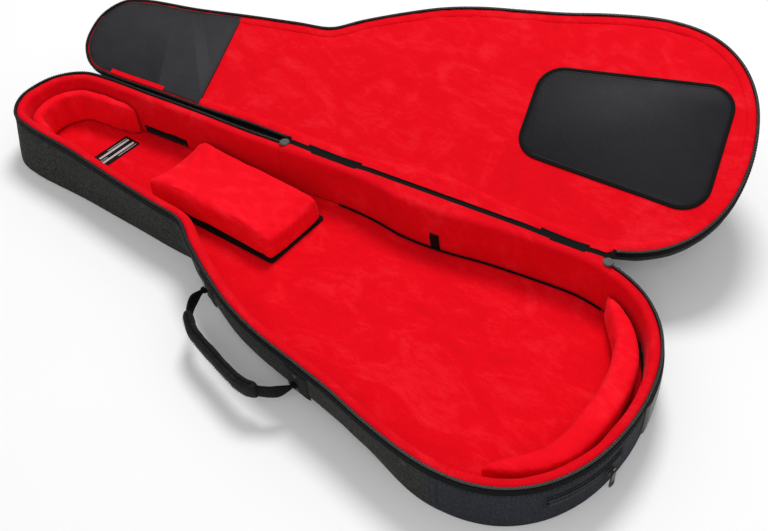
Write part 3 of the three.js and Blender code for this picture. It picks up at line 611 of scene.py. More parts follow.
def apply_all(obj):
    """Turns the object's modifiers into its mesh."""
    graph = bpy.context.evaluated_depsgraph_get()
    graph.update()
    mesh = bpy.data.meshes.new_from_object(obj.evaluated_get(graph), depsgraph=graph)
    obj.modifiers.clear()
    old, obj.data = obj.data, mesh
    bpy.data.meshes.remove(old)
    return obj


def subdivide(obj):
    m = obj.modifiers.new("subdivide", "SUBSURF")
    m.levels = m.render_levels = 1
    return apply_all(obj)


# ---- Base: outer walls, back, floor ----
def outer_profile(height, foot=0.0, flip=False):
    z = np.linspace(4, height - 1.5, 24)
    outer = [(WALL - 0.9 * abs(2 * v / height - 1) ** 3, v) for v in z]
    rows = [(SKIN, 0.0), (14.3, 0.15), (15.3, 1.3), *outer, (15.2, height), (SKIN, height)]
    return [(o, foot - v if flip else foot + v) for o, v in rows]


def smooth(u):
    """A soft step from 0 to 1."""
    u = min(1.0, max(0.0, u))
    return u * u * (3 - 2 * u)


def tuck(x):
    """How far the near wall's foot tucks in under the body, at the distance x."""
    return 12 * smooth((x - 370) / 70) * smooth((900 - x) / 130)


def leaning(rows, s):
    """The rows of an outer wall, with its foot out round the head end and in under the near side."""
    (x, y), = rim([s])[0]
    out = 19 * smooth((380 - x) / 380)
    inwards = tuck(x) if y < 0 else 0.0
    moved = []
    for o, z in rows:
        low = inwards * max(0.0, 1 - z / 32) ** 0.9
        moved.append((o - low + (out * (1 - z / TRAY) if o > SKIN else 0), z))
    return moved


def wall_waves(p):
    """The cloth's waves are largest at the near side's waist, and fade at the wall's two edges."""
    waist = math.exp(-(((p.x - 445) / 55) ** 2)) if p.y < 0 else 0
    return (0.35 + 0.9 * waist) * (1 if 3 < p.z < TRAY - 4 else 0.2)


def base_wall(share, s):
    return leaning(outer_profile(TRAY), s)


SEAM_NEAR, SEAM_FAR = near(SEAM_X), far(SEAM_X)
for name, s0, s1, look, node in (
    ("side_wall_cloth", SEAM_FAR + 0.2, ROUND + SEAM_NEAR - 0.2, "heather", "side_wall"),
    ("tail_wall_cloth", SEAM_NEAR + 0.2, SEAM_FAR - 0.2, "smooth", "tail_wall"),
):
    wall = sweep(name, base_wall, s0, s1, "base", look, [node], step=3.5)
    soften(wall, 1.3, 34, 3, wall_waves)

back = plate(SKIN - GAP, 8.0, 0.0, None, inset=tuck)
back = piece("back_cloth", *back, "base", "heather", ["back_panel"])
soften(back, 0.5, 60, 5, lambda p: 1 if p.z < 1 and 60 < p.x < 980 else 0)


def band(s0, s1, lo, z0, z1, thick):
    """A raised strip sewn on the outside of the wall."""
    hi = lo + thick
    edge = min(0.6, thick * 0.6)
    rows = [(lo, z0), (hi - edge, z0), (hi, z0 + edge), (hi, z1 - edge), (hi - edge, z1), (lo, z1)]
    return swept(rows, s0, s1, 4.0)


# Two turned-in strips with a double row of stitches where the tail section begins.
for name, seam in (("seam_strip_near", SEAM_NEAR), ("seam_strip_far", SEAM_FAR)):
    piece(name, *band(seam - 5, seam + 5, 15.2, 3.5, TRAY - 11, 1.4), "base", "smooth")
    for k, shift in enumerate((-3.4, 3.4)):
        upright_stitches(f"{name}_stitch_{k}", seam + shift, 16.7, np.arange(6, TRAY - 12, 3.0))


def floor_top(x, y):
    p = Vector((x / 85, y / 60, 4.0))
    return 0.55 * noise.noise(p) + 0.25 * noise.noise(p * 2.7) - 0.3


sheet = plate(-0.4, 8.4, 12.1, floor_top, 60, 7.0)
piece("plush_floor", *sheet, "base", "plush", ["floor_lining"], crease=60)


# ---- Base: padded lining of the walls, in its sewn sections ----
def hinge_reach(s, short=3.5):
    """How far past its usual edge the plush reaches, to end short millimetres before the hinge line."""
    if not HINGE_S0 < s % ROUND < HINGE_S1:
        return 0.0
    (p,), (n,) = rim([s])
    gap = (HINGE_Y0 + HINGE_SLOPE * p[0] - p[1]) / (n[1] - HINGE_SLOPE * n[0])
    ends = min(s % ROUND - HINGE_S0, HINGE_S1 - s % ROUND)
    return max(0.0, gap - LINING_EDGE - short) * smooth(ends / 14)


def lining_profile(share, s, length, foot=12.4):
    """Section of the padded wall: belly, rolled top and a flat back. It pinches in at the seams."""
    ends = min(share, 1 - share) * length
    pinch = 1 - math.exp(-ends / 5.0)
    puff = 1.9 * pinch
    z = np.linspace(foot, TRAY - 7, 18)
    rows = [(-puff * math.sin(math.pi * (v - foot) / (TRAY - 12)) ** 0.8, v) for v in z]
    roll = [(-0.2, -3.0), (1.2, -0.2), (3.4, 1.4), (6.2, 2.0), (9.2, 1.9)]
    rows += [(o + (1 - pinch) * 1.6, TRAY + v - (1 - pinch) * 1.8) for o, v in roll]
    (x, y), = rim([s])[0]
    reach = hinge_reach(s)
    k = smooth(reach / 4)
    rows = [(o, z + 1.6 * k * smooth((o - 1) / 6)) for o, z in rows]
    end = LINING_EDGE + max(reach, 0.3)
    back = LINING_EDGE
    flap = [(11.6, 1.0 + 2.4 * k), (back, 0.2 + 3.3 * k), (end, 3.3 * k), (end, 3.1 * k - 0.6)]
    rows += [(o, TRAY + z) for o, z in [*flap, (back, 3.5 * k - 1), (back, -3)]]
    return [*rows, (back - (tuck(x) * 0.62 if y < 0 else 0), foot)]


# The seams between the lining's sections, by their lengths along the outline.
NEAR_CUT, NECK_CUT = near(190), far(195)
TAIL_CUT_NEAR, TAIL_CUT_FAR = near(LENGTH - 120), far(LENGTH - 120)
LININGS = [
    ("wall_pad_near", NEAR_CUT, TAIL_CUT_NEAR, "lining_near"),
    ("wall_pad_tail", TAIL_CUT_NEAR, TAIL_CUT_FAR, "lining_tail"),
    ("wall_pad_far_body", TAIL_CUT_FAR, HINGE_S1, "lining_far_body"),
    ("wall_pad_far_neck", HINGE_S1, NECK_CUT, "lining_far_neck"),
    ("wall_pad_head", NECK_CUT, ROUND + NEAR_CUT, "lining_head"),
]


def ruffle(p):
    """The plush gathers where the wall turns, at the tail and at the head."""
    curve = max(0.0, (p.x - 930) / 110) + max(0.0, (60 - p.x) / 60)
    return (0.35 + 1.1 * min(1, curve)) if p.z > 20 else 0.1


for name, s0, s1, node in LININGS:
    run = s1 - s0
    pad = sweep(
        name,
        lambda share, s, run=run: lining_profile(share, s, run),
        s0 + 0.1,
        s1 - 0.1,
        "base",
        "plush_painted_shade_wall",
        [node],
        step=3.0,
        crease=70,
    )
    soften(pad, 0.8, 26, 7, ruffle, (1, 1, 0.45))

# ---- Base: zip ----
ZIP_S0, ZIP_S1 = HINGE_S1 + 1, ROUND + HINGE_S0 - 1
TAPE = [(12.4, 1.3), (13.2, 2.3), (15.9, 2.3), (17, 1.3), (17.2, -9), (16.3, -9.4), (16.1, 0.6), (13, 1.2)]
TAPE = [(o, TRAY + z) for o, z in TAPE]
TEETH = TRAY + 2.3
sweep("zip_tape_base", TAPE, ZIP_S0, ZIP_S1, "base", "tape", ["base_zip_tape"], crease=50)
teeth("zip_teeth_base", ZIP_S0, ZIP_S1, TEETH, 1, "base", ["base_zip_coil"])
rim_stitches("zip_stitch_base", ZIP_S0, ZIP_S1, 17.2, TRAY - 7.4, "base")
rim_stitches("tail_stitch", SEAM_NEAR + 8, SEAM_FAR - 8, 16.0, TRAY - 14.5, "base", length=3.6, space=2.2)
binding = band(SEAM_FAR + 6, ROUND + SEAM_NEAR - 6, 15.6, TRAY - 13, TRAY - 9.6, 1.0)
piece("wall_binding", *binding, "base", "smooth")

# ---- Trim inside the tray ----
s = np.arange(far(LENGTH - 118), far(CRADLE_X + 236), 5.0)
p, _ = rim(s, -1.9)
wave = 0.35 * np.sin(s / 31.0)
piece(
    "floor_cord",
    *tube(np.column_stack([p[:, 0], p[:, 1] - 0.4 + wave * 0.5, 13.9 + 0 * s]), 1.5, 10),
    "base",
    "tape",
    ["floor_piping"],
)


def velcro(name, s0, s1, z0, z1, thick, node, rise):
    """A strip of hook and loop along the foot of the lining."""
    lo, hi = -rise, -rise - thick
    rows = [(lo, z0), (lo, z1), (hi + 0.3, z1), (hi, z1 - 0.4), (hi, z0 + 0.4), (hi + 0.3, z0)]
    sweep(name, rows, s0, s1, "base", "velcro", [node], step=3.0)


velcro("velcro_neck", far(NECK_X - 30), far(136), 15, 29, 0.9, "wall_velcro", 0.9)
velcro("velcro_head", far(115), ROUND + near(60), 26, 51, 0.6, "head_velcro", 1.2)
velcro("velcro_tail", near(LENGTH - 82), far(LENGTH - 95), 24, 49, 0.6, "tail_velcro", 1.2)


def tag_profile(share, s):
    lean = 1.4 * math.sin(math.pi * share)
    rows = []
    for v, out in zip(np.linspace(44, 14, 7), (3.2, 3.8, 3.9, 3.4, 2.6, 1.7, 0.6)):
        rows.append((-out - lean, v))
    return rows + [(o + 0.7, v) for o, v in reversed(rows)]


sweep("woven_tag", tag_profile, far(680), far(666), "base", "label", ["wall_tag"], step=1.4)
label = rounded_box(130.5, 8, 33, 76, 2.5, 0.0, 4)
inner = rounded_box(130.5, 8, 32.2, 75.2, 2.2, 0.0, 4)
badge = stack([(label, 12.2), (label, 12.9), (inner, 13.1)])
piece("floor_badge", *badge, "base", "label", ["floor_label"])
bars = []
THIN, BROAD = 1.0, 4.4
for x, y0, y1, wide in (
    (120, 4, 42, THIN),
    (125, -16, 42, BROAD),
    (131.5, -26, -6, THIN),
    (137, -22, 42, BROAD),
    (143, 6, 42, THIN),
):
    bar = rounded_box(x, (y0 + y1) / 2, wide, y1 - y0, min(wide, 2) / 2.2, 0.0, 2)
    bars.append(stack([(bar, 13.0), (bar, 13.25)]))
piece("floor_badge_bars", *joined(bars), "base", "bar")

# ---- Fabric hinge: one strip of cloth from the tray's rim to the lid's ----
count = 190
s = np.linspace(HINGE_S0 + 0.5, HINGE_S1 - 0.5, count)
inner, _ = rim(s, 11.8)
cross = []
shares = np.concatenate([np.linspace(0, 0.8, 8), np.linspace(0.86, 1, 5)])
for k in range(count):
    x = inner[k, 0]
    y_hinge = HINGE_Y0 + HINGE_SLOPE * x
    reach = y_hinge - inner[k, 1]
    dip = 1.3 * min(1, reach / 30)
    base = [(x, inner[k, 1] + u * reach, TRAY + 2.2 - dip * math.sin(math.pi * u)) for u in shares]
    lid_side = [(x, y, 2 * AXIS_Z - z) for x, y, z in reversed(base)][1:]
    mid = [tuple(q) for q in opened(lid_side)]
    ripple = [0.5 * noise.noise(Vector((q[0] / 18, q[1] / 14, 1))) for q in base + mid]
    top = [(q[0], q[1], q[2] + r) for q, r in zip(base + mid, ripple)]
    low = [(q[0], q[1], q[2] - 1.0) for q in reversed(top)]
    cross.append(top + low)
cols = len(cross[0])
hinge = piece(
    "hinge_cloth",
    np.array(cross).reshape(-1, 3),
    grid_faces(count, cols),
    None,
    "tape",
    ["hinge_strip_base", "hinge_strip_lid", "hinge_fold"],
    crease=60,
)
top = np.array(cross)[:, : cols // 2]
wide = np.linalg.norm(np.diff(top, axis=1), axis=2).sum(1)
FOLD_X = 655  # a place along the hinge
middle = Vector((FOLD_X, HINGE_Y0 + HINGE_SLOPE * FOLD_X, AXIS_Z)) * MM
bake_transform(hinge)


# ---- Loose cushions ----
def cushion_profile(thick, height, share, length, back=-3.4, out=0.0):
    """Section of a standing cushion, thinner and lower at its two ends."""
    ends = min(share, 1 - share) * length
    full = min(1.0, 0.35 + 0.65 * (1 - math.exp(-ends / 9.0)))
    foot = 13.4
    front, top = -3.4 - out - (thick - 5) * full, foot + (height - 4) * (0.75 + 0.25 * full)
    r = min(5.0, (back - front) / 2.2)
    rows = [(back, foot), (back, top - r)]
    for a in (30, 60, 90):
        c, d = math.cos(math.radians(a)), math.sin(math.radians(a))
        rows.append((back - r + r * c, top - r + r * d))
    for a in (90, 60, 30, 0):
        c, d = math.cos(math.radians(a)), math.sin(math.radians(a))
        rows.append((front + r - r * c, top - r + r * d))
    return rows + [(front, foot)]


def rest_on(obj, z):
    for v in obj.data.vertices:
        v.co.z = max(v.co.z, z * MM)
    obj.data.update()


def stuffed(name, points, faces, body, node, waves, size, seed):
    """A cushion on the tray's floor: swelled, set down, rounded and given soft waves."""
    pad = piece(name, points, faces, None, "plush_painted_light_pad", [node], 180)
    simulate(pad)
    rest_on(pad, CUSHION_Z)
    subdivide(pad)
    soften(pad, waves, size, seed, lambda p: 1 if p.z > CUSHION_Z + 1.5 else 0)
    settle(pad, body, "plush_painted_light_pad", [node], 180)


HEAD_S0, HEAD_S1 = far(133) + 2, ROUND + near(78) - 3


def head_section(share, s):
    return cushion_profile(21, 60, share, HEAD_S1 - HEAD_S0)


points, faces = swept(head_section, HEAD_S0, HEAD_S1, 5.0)
stuffed("head_cushion_pad", points, faces, "head_cushion", "head_pad", waves=0.9, size=34, seed=2)

TAIL_S0, TAIL_S1 = near(LENGTH - 103) + 4, far(LENGTH - 113) - 4


def crescent(share, s):
    """The tail cushion is thickest in the middle, and stands off the wall at its near end."""
    thick = 19 + 28 * math.sin(math.pi * share) ** 0.8
    off = 22 * smooth(1 - share / 0.34)
    back = -4 - off - 7 * math.sin(math.pi * share) ** 0.6
    return cushion_profile(thick, 54 - 0.7 * off, share, TAIL_S1 - TAIL_S0, back, off)


points, faces = swept(crescent, TAIL_S0, TAIL_S1, 5.0)
stuffed("tail_cushion_pad", points, faces, "tail_cushion", "tail_pad", waves=1.0, size=42, seed=4)


CRADLE_Y = rim([far(CRADLE_X)])[0][0][1] - 7
CRADLE_END = CRADLE_X + CRADLE_LONG
CRADLE = [
    (CRADLE_X, CRADLE_Y - CRADLE_WIDE),
    (CRADLE_END, CRADLE_Y - (CRADLE_WIDE - CRADLE_TAPER - CRADLE_SKEW)),
    (CRADLE_END, CRADLE_Y + CRADLE_SKEW),
    (CRADLE_X, CRADLE_Y),
]


def cradle_rows():
    """The cradle block: rounded shoulders and a shallow saddle along its middle."""
    rows = []
    for share in np.concatenate([[0, 0.012, 0.04], np.linspace(0.1, 0.9, 12), [0.96, 0.988, 1]]):
        ends = min(share, 1 - share) * CRADLE_LONG
        drop = 6 * math.exp(-ends / 4.0)
        draw = 2.5 * math.exp(-ends / 4.0)
        top = 60.5 - drop
        inner = 0.003 + share * 0.994
        low = np.array(CRADLE[0]) + inner * (np.array(CRADLE[1]) - CRADLE[0])
        high = np.array(CRADLE[3]) + inner * (np.array(CRADLE[2]) - CRADLE[3])
        width = np.linalg.norm(high - low)
        section = [(0, 16), (0, top - 6), (2, top - 2), (6, top)]
        for u in np.linspace(0.1, 0.9, 13):
            section.append((u * (width - 3 - 2 * draw), top - 7.5 * math.sin(math.pi * u) ** 1.2))
        section += [(width - 9 - 2 * draw, top), (width - 5 - 2 * draw, top - 2)]
        section += [(width - 3 - 2 * draw, top - 6), (width - 3 - 2 * draw, 16)]
        row = [(*(low + (high - low) * (w + 1.5 + draw) / width), z) for w, z in section]
        rows.append(row)
    return np.array(rows)


rows = cradle_rows()
faces = grid_faces(len(rows), rows.shape[1])
cradle = piece("cradle_pad", rows.reshape(-1, 3), faces, None, "plush_painted_light_pad", ["neck_cradle"], 180)
simulate(cradle)
rest_on(cradle, CRADLE_Z)
subdivide(cradle)


def crease_at(ax, ay, bx, by, deep, wide):
    """A fold in the plush from a to b."""
    d = Vector((bx - ax, by - ay))
    run = d.length
    d.normalize()
    for v in cradle.data.vertices:
        if v.co.z < 40 * MM:
            continue
        q = Vector((v.co.x / MM - ax, v.co.y / MM - ay))
        u, w = q.dot(d), q.dot(Vector((-d.y, d.x)))
        if -10 < u < run + 10 and abs(w) < 3 * wide:
            fade = math.sin(math.pi * min(1, max(0, (u + 10) / (run + 20))))
            v.co.z -= deep * MM * fade * math.exp(-((w / wide) ** 2))


for fold in (
    (285, 60, 330, 12, 2.2, 5.0),
    (300, 72, 352, 40, 1.6, 5.0),
    (283, 35, 312, -5, 1.8, 4.0),
    (495, 40, 452, -8, 1.8, 4.0),
    (500, 22, 470, -22, 1.4, 3.0),
    (488, 60, 440, 30, 1.2, 5.0),
):
    crease_at(*fold)
cradle.data.update()
soften(cradle, 0.7, 24, 9, lambda p: 1 if p.z > 22 else 0)
settle(cradle, "cradle", "plush_painted_light_pad", ["neck_cradle"], 180)


def grown(by, z, radius=6):
    """The cradle's plan with rounded corners, grown by some millimetres, at the height z."""
    out = []
    for (x, y), (sx, sy, start) in zip(CRADLE, ((-1, -1, 180), (1, -1, 270), (1, 1, 0), (-1, 1, 90))):
        for k in range(6):
            a = math.radians(start + 18 * k)
            dx, dy = radius * math.cos(a), radius * math.sin(a)
            out.append((x - sx * (radius - by) + dx, y - sy * (radius - by) + dy))
    return np.array(out), z


sole = stack([grown(-1.6, 12.4), grown(-0.6, 13.2), grown(-0.6, 14.6), grown(-1.6, 15.4)])
piece("cradle_sole", *sole, "cradle", "tape", ["cradle_base"])


# Moulded stops where the zip ends at the hinge.
for name, s_end in (("zip_stop_head", HINGE_S1 - 3), ("zip_stop_tail", HINGE_S0 + 3)):
    (x, y), = rim([s_end], 15.0)[0]
    disc = []
    for r, z in ((6.2, 1.6), (7.6, 2.4), (7.8, 4.2), (6.8, 5.2), (3.2, 5.0)):
        ring = [(x + r * math.cos(a), y + r * math.sin(a)) for a in np.arange(8) * math.pi / 4 + 0.3]
        disc.append((np.array(ring), TRAY + z))
    piece(name, *stack(disc), "base", "stop", crease=30)

# ---- Tail: bumper and pocket ----
def raised_band(name, s0, s1, z0, z1, lo, thick, look, nodes, crown=0.0):
    """A strip on the wall, with soft ends and a face that may swell out by crown."""

    def profile(share, s):
        ends = min(share, 1 - share) * (s1 - s0)
        fade = 1 - 0.7 * math.exp(-ends / 2.2)
        z = np.linspace(z0 + 0.5, z1 - 0.5, 13)
        face = [(lo + (thick + crown * math.sin(math.pi * (v - z0) / (z1 - z0))) * fade, v) for v in z]
        return [(lo, z0), (lo + thick * 0.5 * fade, z0), *face, (lo + thick * 0.5 * fade, z1), (lo, z1)]

    return sweep(name, profile, s0, s1, "base", look, nodes, step=3.0)


BUMPER_S0, BUMPER_S1 = TAIL_S + 22, TAIL_S + 112
raised_band("bumper_strip", BUMPER_S0, BUMPER_S1, 14, TRAY - 10, 15.4, 3.6, "rubber", ["tail_bumper"], 1.2)
POCKET_S0, POCKET_S1 = near(LENGTH - 38), TAIL_S - 26
raised_band("pocket_welt", POCKET_S0, POCKET_S1, 36, 56, 15.2, 2.3, "smooth", ["tail_pocket_welt"])
for k, z in enumerate((41.6, 50.4)):
    p, _ = rim(np.arange(POCKET_S0 + 5, POCKET_S1 - 5, 3.0), 18.0)
    path = np.column_stack([p, np.full(len(p), z)])
    piece(f"pocket_lip_{k}", *tube(path, 1.5, 10), "base", "coil")
    stitch_z = z + (-3.6 if k == 0 else 3.6)
    rim_stitches(f"pocket_stitch_{k}", POCKET_S0 + 3, POCKET_S1 - 3, 17.5, stitch_z, "base")
rows = [(17.2, 42.5), (18.1, 42.5), (18.1, 49.5), (17.2, 49.5)]
sweep("pocket_zip_tape", rows, POCKET_S0 + 5, POCKET_S1 - 5, "base", "tape", ["tail_pocket_zip"])
s = np.arange(POCKET_S0 + 8, POCKET_S1 - 7, 2.2)
p, n = rim(s, 18.3)
links = []
tooth = ((-0.75, 0), (0.75, 0), (0.5, 0.9), (-0.5, 0.9))
for (x, y), (nx, ny) in zip(p, n):
    q = np.array([(x - ny * a + nx * o, y + nx * a + ny * o) for a, o in tooth])
    links.append(stack([(q, 43.8), (q, 48.2)]))
piece("pocket_zip_teeth", *joined(links), "base", "coil")
for k, s_end in enumerate((POCKET_S0 + 3.0, POCKET_S1 - 3.0)):
    for j, shift in enumerate((-1.6, 1.6)):
        z = np.arange(38.5, 54.5, 2.6)
        upright_stitches(f"pocket_tack_{k}_{j}", s_end + shift, 17.6, z, length=2.4, space=0.8, radius=0.5)


# ---- Zip sliders and their tabs ----
def placed(points, origin, x, y, z):
    m = np.array([list(x), list(y), list(z)])
    return np.asarray(points, float) @ m + np.array(origin, float)


def bevelled(name, points, faces, body, look, nodes, width=0.5, segments=2):
    obj = piece(name, points, faces, body, look, nodes, 180)
    bevel = obj.modifiers.new("bevel", "BEVEL")
    bevel.width, bevel.segments, bevel.limit_method = width * MM, segments, "ANGLE"
    apply_all(obj)
    obj.data.shade_smooth()
    obj.data.set_sharp_from_angle(angle=math.radians(50))
    return obj


def slider(name, pivot, out, along, body, node):
    """The slider: a flared body with a raised crown, and the post that carries its tab."""
    up = out.cross(along)
    plan = [(-6.5, 3.2), (-3, 4.4), (3, 4.4), (6.5, 3.2), (6.5, -3.2), (3, -4.4), (-3, -4.4), (-6.5, -3.2)]
    levels = [(-6.1, 1.0), (-5.2, 1.02), (-4.6, 0.86), (-4.0, 0.9), (-2.6, 0.98), (-2.1, 0.86)]
    shell = np.array([(h, a * k, b * k) for h, k in levels for a, b in plan])
    post = []
    for h, w in ((-2.4, 1.6), (-0.6, 1.6), (0.7, 1.3), (1.1, 0.8)):
        post += [(h, a, b) for a, b in ((-w, -1.1), (w, -1.1), (w, 1.1), (-w, 1.1))]
    points, faces = joined([(shell, grid_faces(len(levels), len(plan))), (post, grid_faces(4, 4))])
    return bevelled(name, placed(points, pivot, out, along, up), faces, body, "metal", [node], 0.25)


def tab(name, pivot, out, along, hang, body, node):
    """The tab: a waisted plate with four raised grip ridges near its end."""
    outline = [(-1.6, -0.4), (-3.4, 3.5), (-3.0, 9), (-4.0, 17), (-4.4, 24), (-3.4, 28.2), (0, 29.0)]
    outline += [(-a, b) for a, b in reversed(outline[:-1])]
    points = []
    middle = 15.0
    for h, k in ((-0.9, 0.9), (-1.0, 1.0), (1.0, 1.0), (0.9, 0.9)):
        for a, b in outline:
            points.append((h, a * k, (b - middle) * (0.985 if k < 1 else 1) + middle))
    n = len(outline)
    parts = [(np.array(points), grid_faces(4, n))]
    for k in range(4):
        bar = ((0.9, -2.6), (1.5, -2.2), (1.5, 2.2), (0.9, 2.6))
        ridge = [(h, a, b + 20.5 + 1.9 * k) for b in (-0.5, 0.5) for h, a in bar]
        parts.append((np.array(ridge), grid_faces(2, 4)))
    points, faces = joined(parts)
    return bevelled(name, placed(points, pivot, out, along, hang), faces, body, "metal", [node], 0.2)


DOWN = Vector((0, 0, -1))


def zip_head(stem, slider_body, slider_node, tab_body, tab_node, out=None):
    """A slider and its tab, placed by the tab's own joint."""
    j = JOINTS[tab_body + "_swing"]
    along = Vector(j["axis"]).normalized()
    pivot = np.array(j["pos_m"]) / MM
    if out is None:
        out = Vector((along.y, -along.x, 0))
        centre = Vector((560, 0, 0))
        if out.dot(Vector(pivot) - centre) < 0:
            out = -out
    slider(stem + "_body", pivot, out.normalized(), along, slider_body, slider_node)
    face = along.cross(DOWN).normalized()
    if face.dot(out) < 0:
        face = -face
    tab(stem + "_tab", pivot, face, along, DOWN, tab_body, tab_node)


LID_UP = Vector((OPEN.to_3x3() @ Vector((0, 0, 1)))).normalized()
zip_head("pocket_zip", "pocket_slider", "tail_pocket_slider", "pocket_tab", "tail_pocket_pull")
zip_head("head_zip", "base", "zip_slider_head", "head_end_tab", "zip_pull_head")
zip_head("tail_zip", "base", "zip_slider_tail", "tail_end_tab", "zip_pull_tail")
zip_head("front_zip", "front_slider", "front_pocket_slider", "front_tab", "front_pocket_pull", LID_UP)


# ---- Carry handle ----
HANDLE_Z, SAG, REACH = 47, math.radians(2), 48
anchors = [rim([near(x)], 21.7)[0][0] for x in HANDLE_AT.values()]
SPAN = float(np.linalg.norm(anchors[1] - anchors[0]))
H_DIR = (anchors[1] - anchors[0]) / SPAN
H_OUT = np.array([H_DIR[1], -H_DIR[0]])


def handle_point(u, v, w):
    out = v * math.cos(SAG) + w * math.sin(SAG)
    x, y = anchors[0] + H_DIR * u + H_OUT * out
    return np.array([x, y, HANDLE_Z - v * math.sin(SAG) + w * math.cos(SAG)])


def open_spline(points, per_span):
    """An open Catmull-Rom curve through the points."""
    points = np.asarray(points, float)
    ext = np.vstack([2 * points[0] - points[1], points, 2 * points[-1] - points[-2]])
    out = []
    for k in range(1, len(ext) - 2):
        p0, p1, p2, p3 = ext[k - 1 : k + 3]
        for w in np.arange(per_span) / per_span:
            b, c, d = p2 - p0, 2 * p0 - 5 * p1 + 4 * p2 - p3, 3 * p1 - p0 - 3 * p2 + p3
            out.append(0.5 * (2 * p1 + b * w + c * w**2 + d * w**3))
    return np.array([*out, points[-1]])


half = [(0, 0), (1.5, 9), (9, 24), (26, 38), (46, 46), (70, REACH)]
LINE_H = open_spline([*half, *[(SPAN - u, v) for u, v in reversed(half)]], 8)


def along_handle(line, section):
    """A section of (thickness, width) corners carried along the handle's line."""
    d = np.gradient(line, axis=0)
    d /= np.linalg.norm(d, axis=1)[:, None]
    rows = []
    for i, ((u, v), (du, dv)) in enumerate(zip(line, d)):
        corners = section(i / (len(line) - 1), v)
        rows.append([handle_point(u - dv * t, v + du * t, w) for t, w in corners])
    return np.array(rows)


def strap_section(share, v):
    """The webbing: narrow at its ears, and widening as it leaves the wall."""
    rise = min(1, max(0, v / 22))
    w = 3 + 8 * rise * rise * (3 - 2 * rise)
    t = 1.3
    side = [(t, -w + 0.5), (t, 0), (t, w - 0.5), (t - 0.5, w)]
    return [*side, (-t + 0.5, w), (-t, w - 0.5), (-t, 0), (-t, -w + 0.5), (-t + 0.5, -w), (t - 0.5, -w)]


rows = along_handle(LINE_H, strap_section)
parts = [(rows.reshape(-1, 3), grid_faces(len(rows), rows.shape[1]))]
for u in (0, SPAN):
    ends = [handle_point(u + k, 0, 0) for k in (-4, -3.4, 0, 3.4, 4)]
    parts.append(tube(ends, 3.0, 14))
points, faces = joined(parts)
piece("handle_strap", points, faces, "handle", "tape", ["handle_webbing"], 50)


def grip_section(share, v):
    ends = min(share, 1 - share)
    full = min(1.0, 0.55 + 0.45 * (1 - math.exp(-ends * 40)))
    t, w = 6.9 * full, 13.2 * (0.8 + 0.2 * full)
    rows = []
    for k in range(24):
        a = 2 * math.pi * (k + 0.5) / 24
        c, d = math.cos(a), math.sin(a)
        rows.append((t * math.copysign(abs(c) ** 0.62, c), w * math.copysign(abs(d) ** 0.62, d)))
    return rows


keep = [i for i, (u, v) in enumerate(LINE_H) if v > 36]
grip_line = LINE_H[keep[0] : keep[-1] + 1]
rows = along_handle(grip_line, grip_section)
faces = grid_faces(len(rows), 24)
grip = piece("handle_pad", rows.reshape(-1, 3), faces, None, "grip", ["handle_grip"], 180)
subdivide(grip)
soften(grip, 0.7, 16, 3)
settle(grip, "handle", "grip", ["handle_grip"], 180)
for k, w in enumerate((-12.9, 12.9)):
    path = [handle_point(u, v, w) for u, v in grip_line[2:-2]]
    piece(f"handle_piping_{k}", *tube(path, 1.3, 8), "handle", "tape")
for k, sign in enumerate((-1, 1)):
    d = np.gradient(grip_line, axis=0)
    d /= np.linalg.norm(d, axis=1)[:, None]
    steps = list(zip(grip_line, d))[3:-3]
    path = [handle_point(u - dv * 6.6, v + du * 6.6, sign * 9.0) for (u, v), (du, dv) in steps]
    out = [handle_point(-dv, du, 0) - handle_point(0, 0, 0) for _, (du, dv) in steps]
    stitches(f"handle_stitch_{k}", path, out, "handle")

for stem, x in HANDLE_AT.items():
    s_mid = near(x)
    node = f"handle_patch_{stem}"
    raised_band(f"handle_patch_cloth_{stem}", s_mid - 20, s_mid + 20, 26, 68, 15.6, 1.9, "grip", [node])
    for k, shift in enumerate((-17.5, 17.5)):
        upright_stitches(f"handle_patch_{stem}_stitch_{k}", s_mid + shift, 17.7, np.arange(28, 67, 3.0))
    for k, z in enumerate((28.5, 65.5)):
        rim_stitches(f"handle_patch_{stem}_edge_{k}", s_mid - 18, s_mid + 18, 17.7, z, "base")
    for level, z in (("upper", 61), ("lower", 33)):
        (q,), (n,) = rim([s_mid], 17.8)
        t = np.array([-n[1], n[0]])
        rows = []
        for h, r in ((0, 3.4), (0.5, 3.4), (1.0, 2.9), (1.3, 2.0), (1.35, 1.1), (1.0, 0.8)):
            for a in np.arange(20) * 2 * math.pi / 20:
                x2, y2 = q + n * h + t * r * math.cos(a)
                rows.append((x2, y2, z + r * math.sin(a)))
        node = f"handle_rivet_{stem}_{level}"
        piece(f"rivet_{stem}_{level}", rows, grid_faces(6, 20), "base", "metal", [node], 50)


# ---- Lid: wall, outside, lining ----
lid_wall = sweep(
    "lid_wall_cloth",
    outer_profile(LID_DEEP, LID_BACK, True),
    0,
    ROUND,
    "lid",
    "heather",
    ["lid_wall"],
    step=3.5,
    closed=True,
    lid=True,
)
soften(lid_wall, 0.7, 30, 11)


def lid_outside(x, y):
    p = Vector((x / 120, y / 90, 2.0))
    return 0.5 * noise.noise(p)


panel = plate(SKIN - GAP, LID_BACK - 7.8, LID_BACK, lid_outside)
piece("lid_cloth", *panel, "lid", "heather", ["lid_panel"], lid=True)


# Each fold's middle, its angle in radians, half its length and its height.
LID_FOLDS = (
    (330, 20, 1.1, 60, 1.5),
    (362, 0, 1.2, 70, 1.2),
    (300, 40, 1.0, 45, 1.0),
    (585, 90, 0.7, 60, 1.2),
)


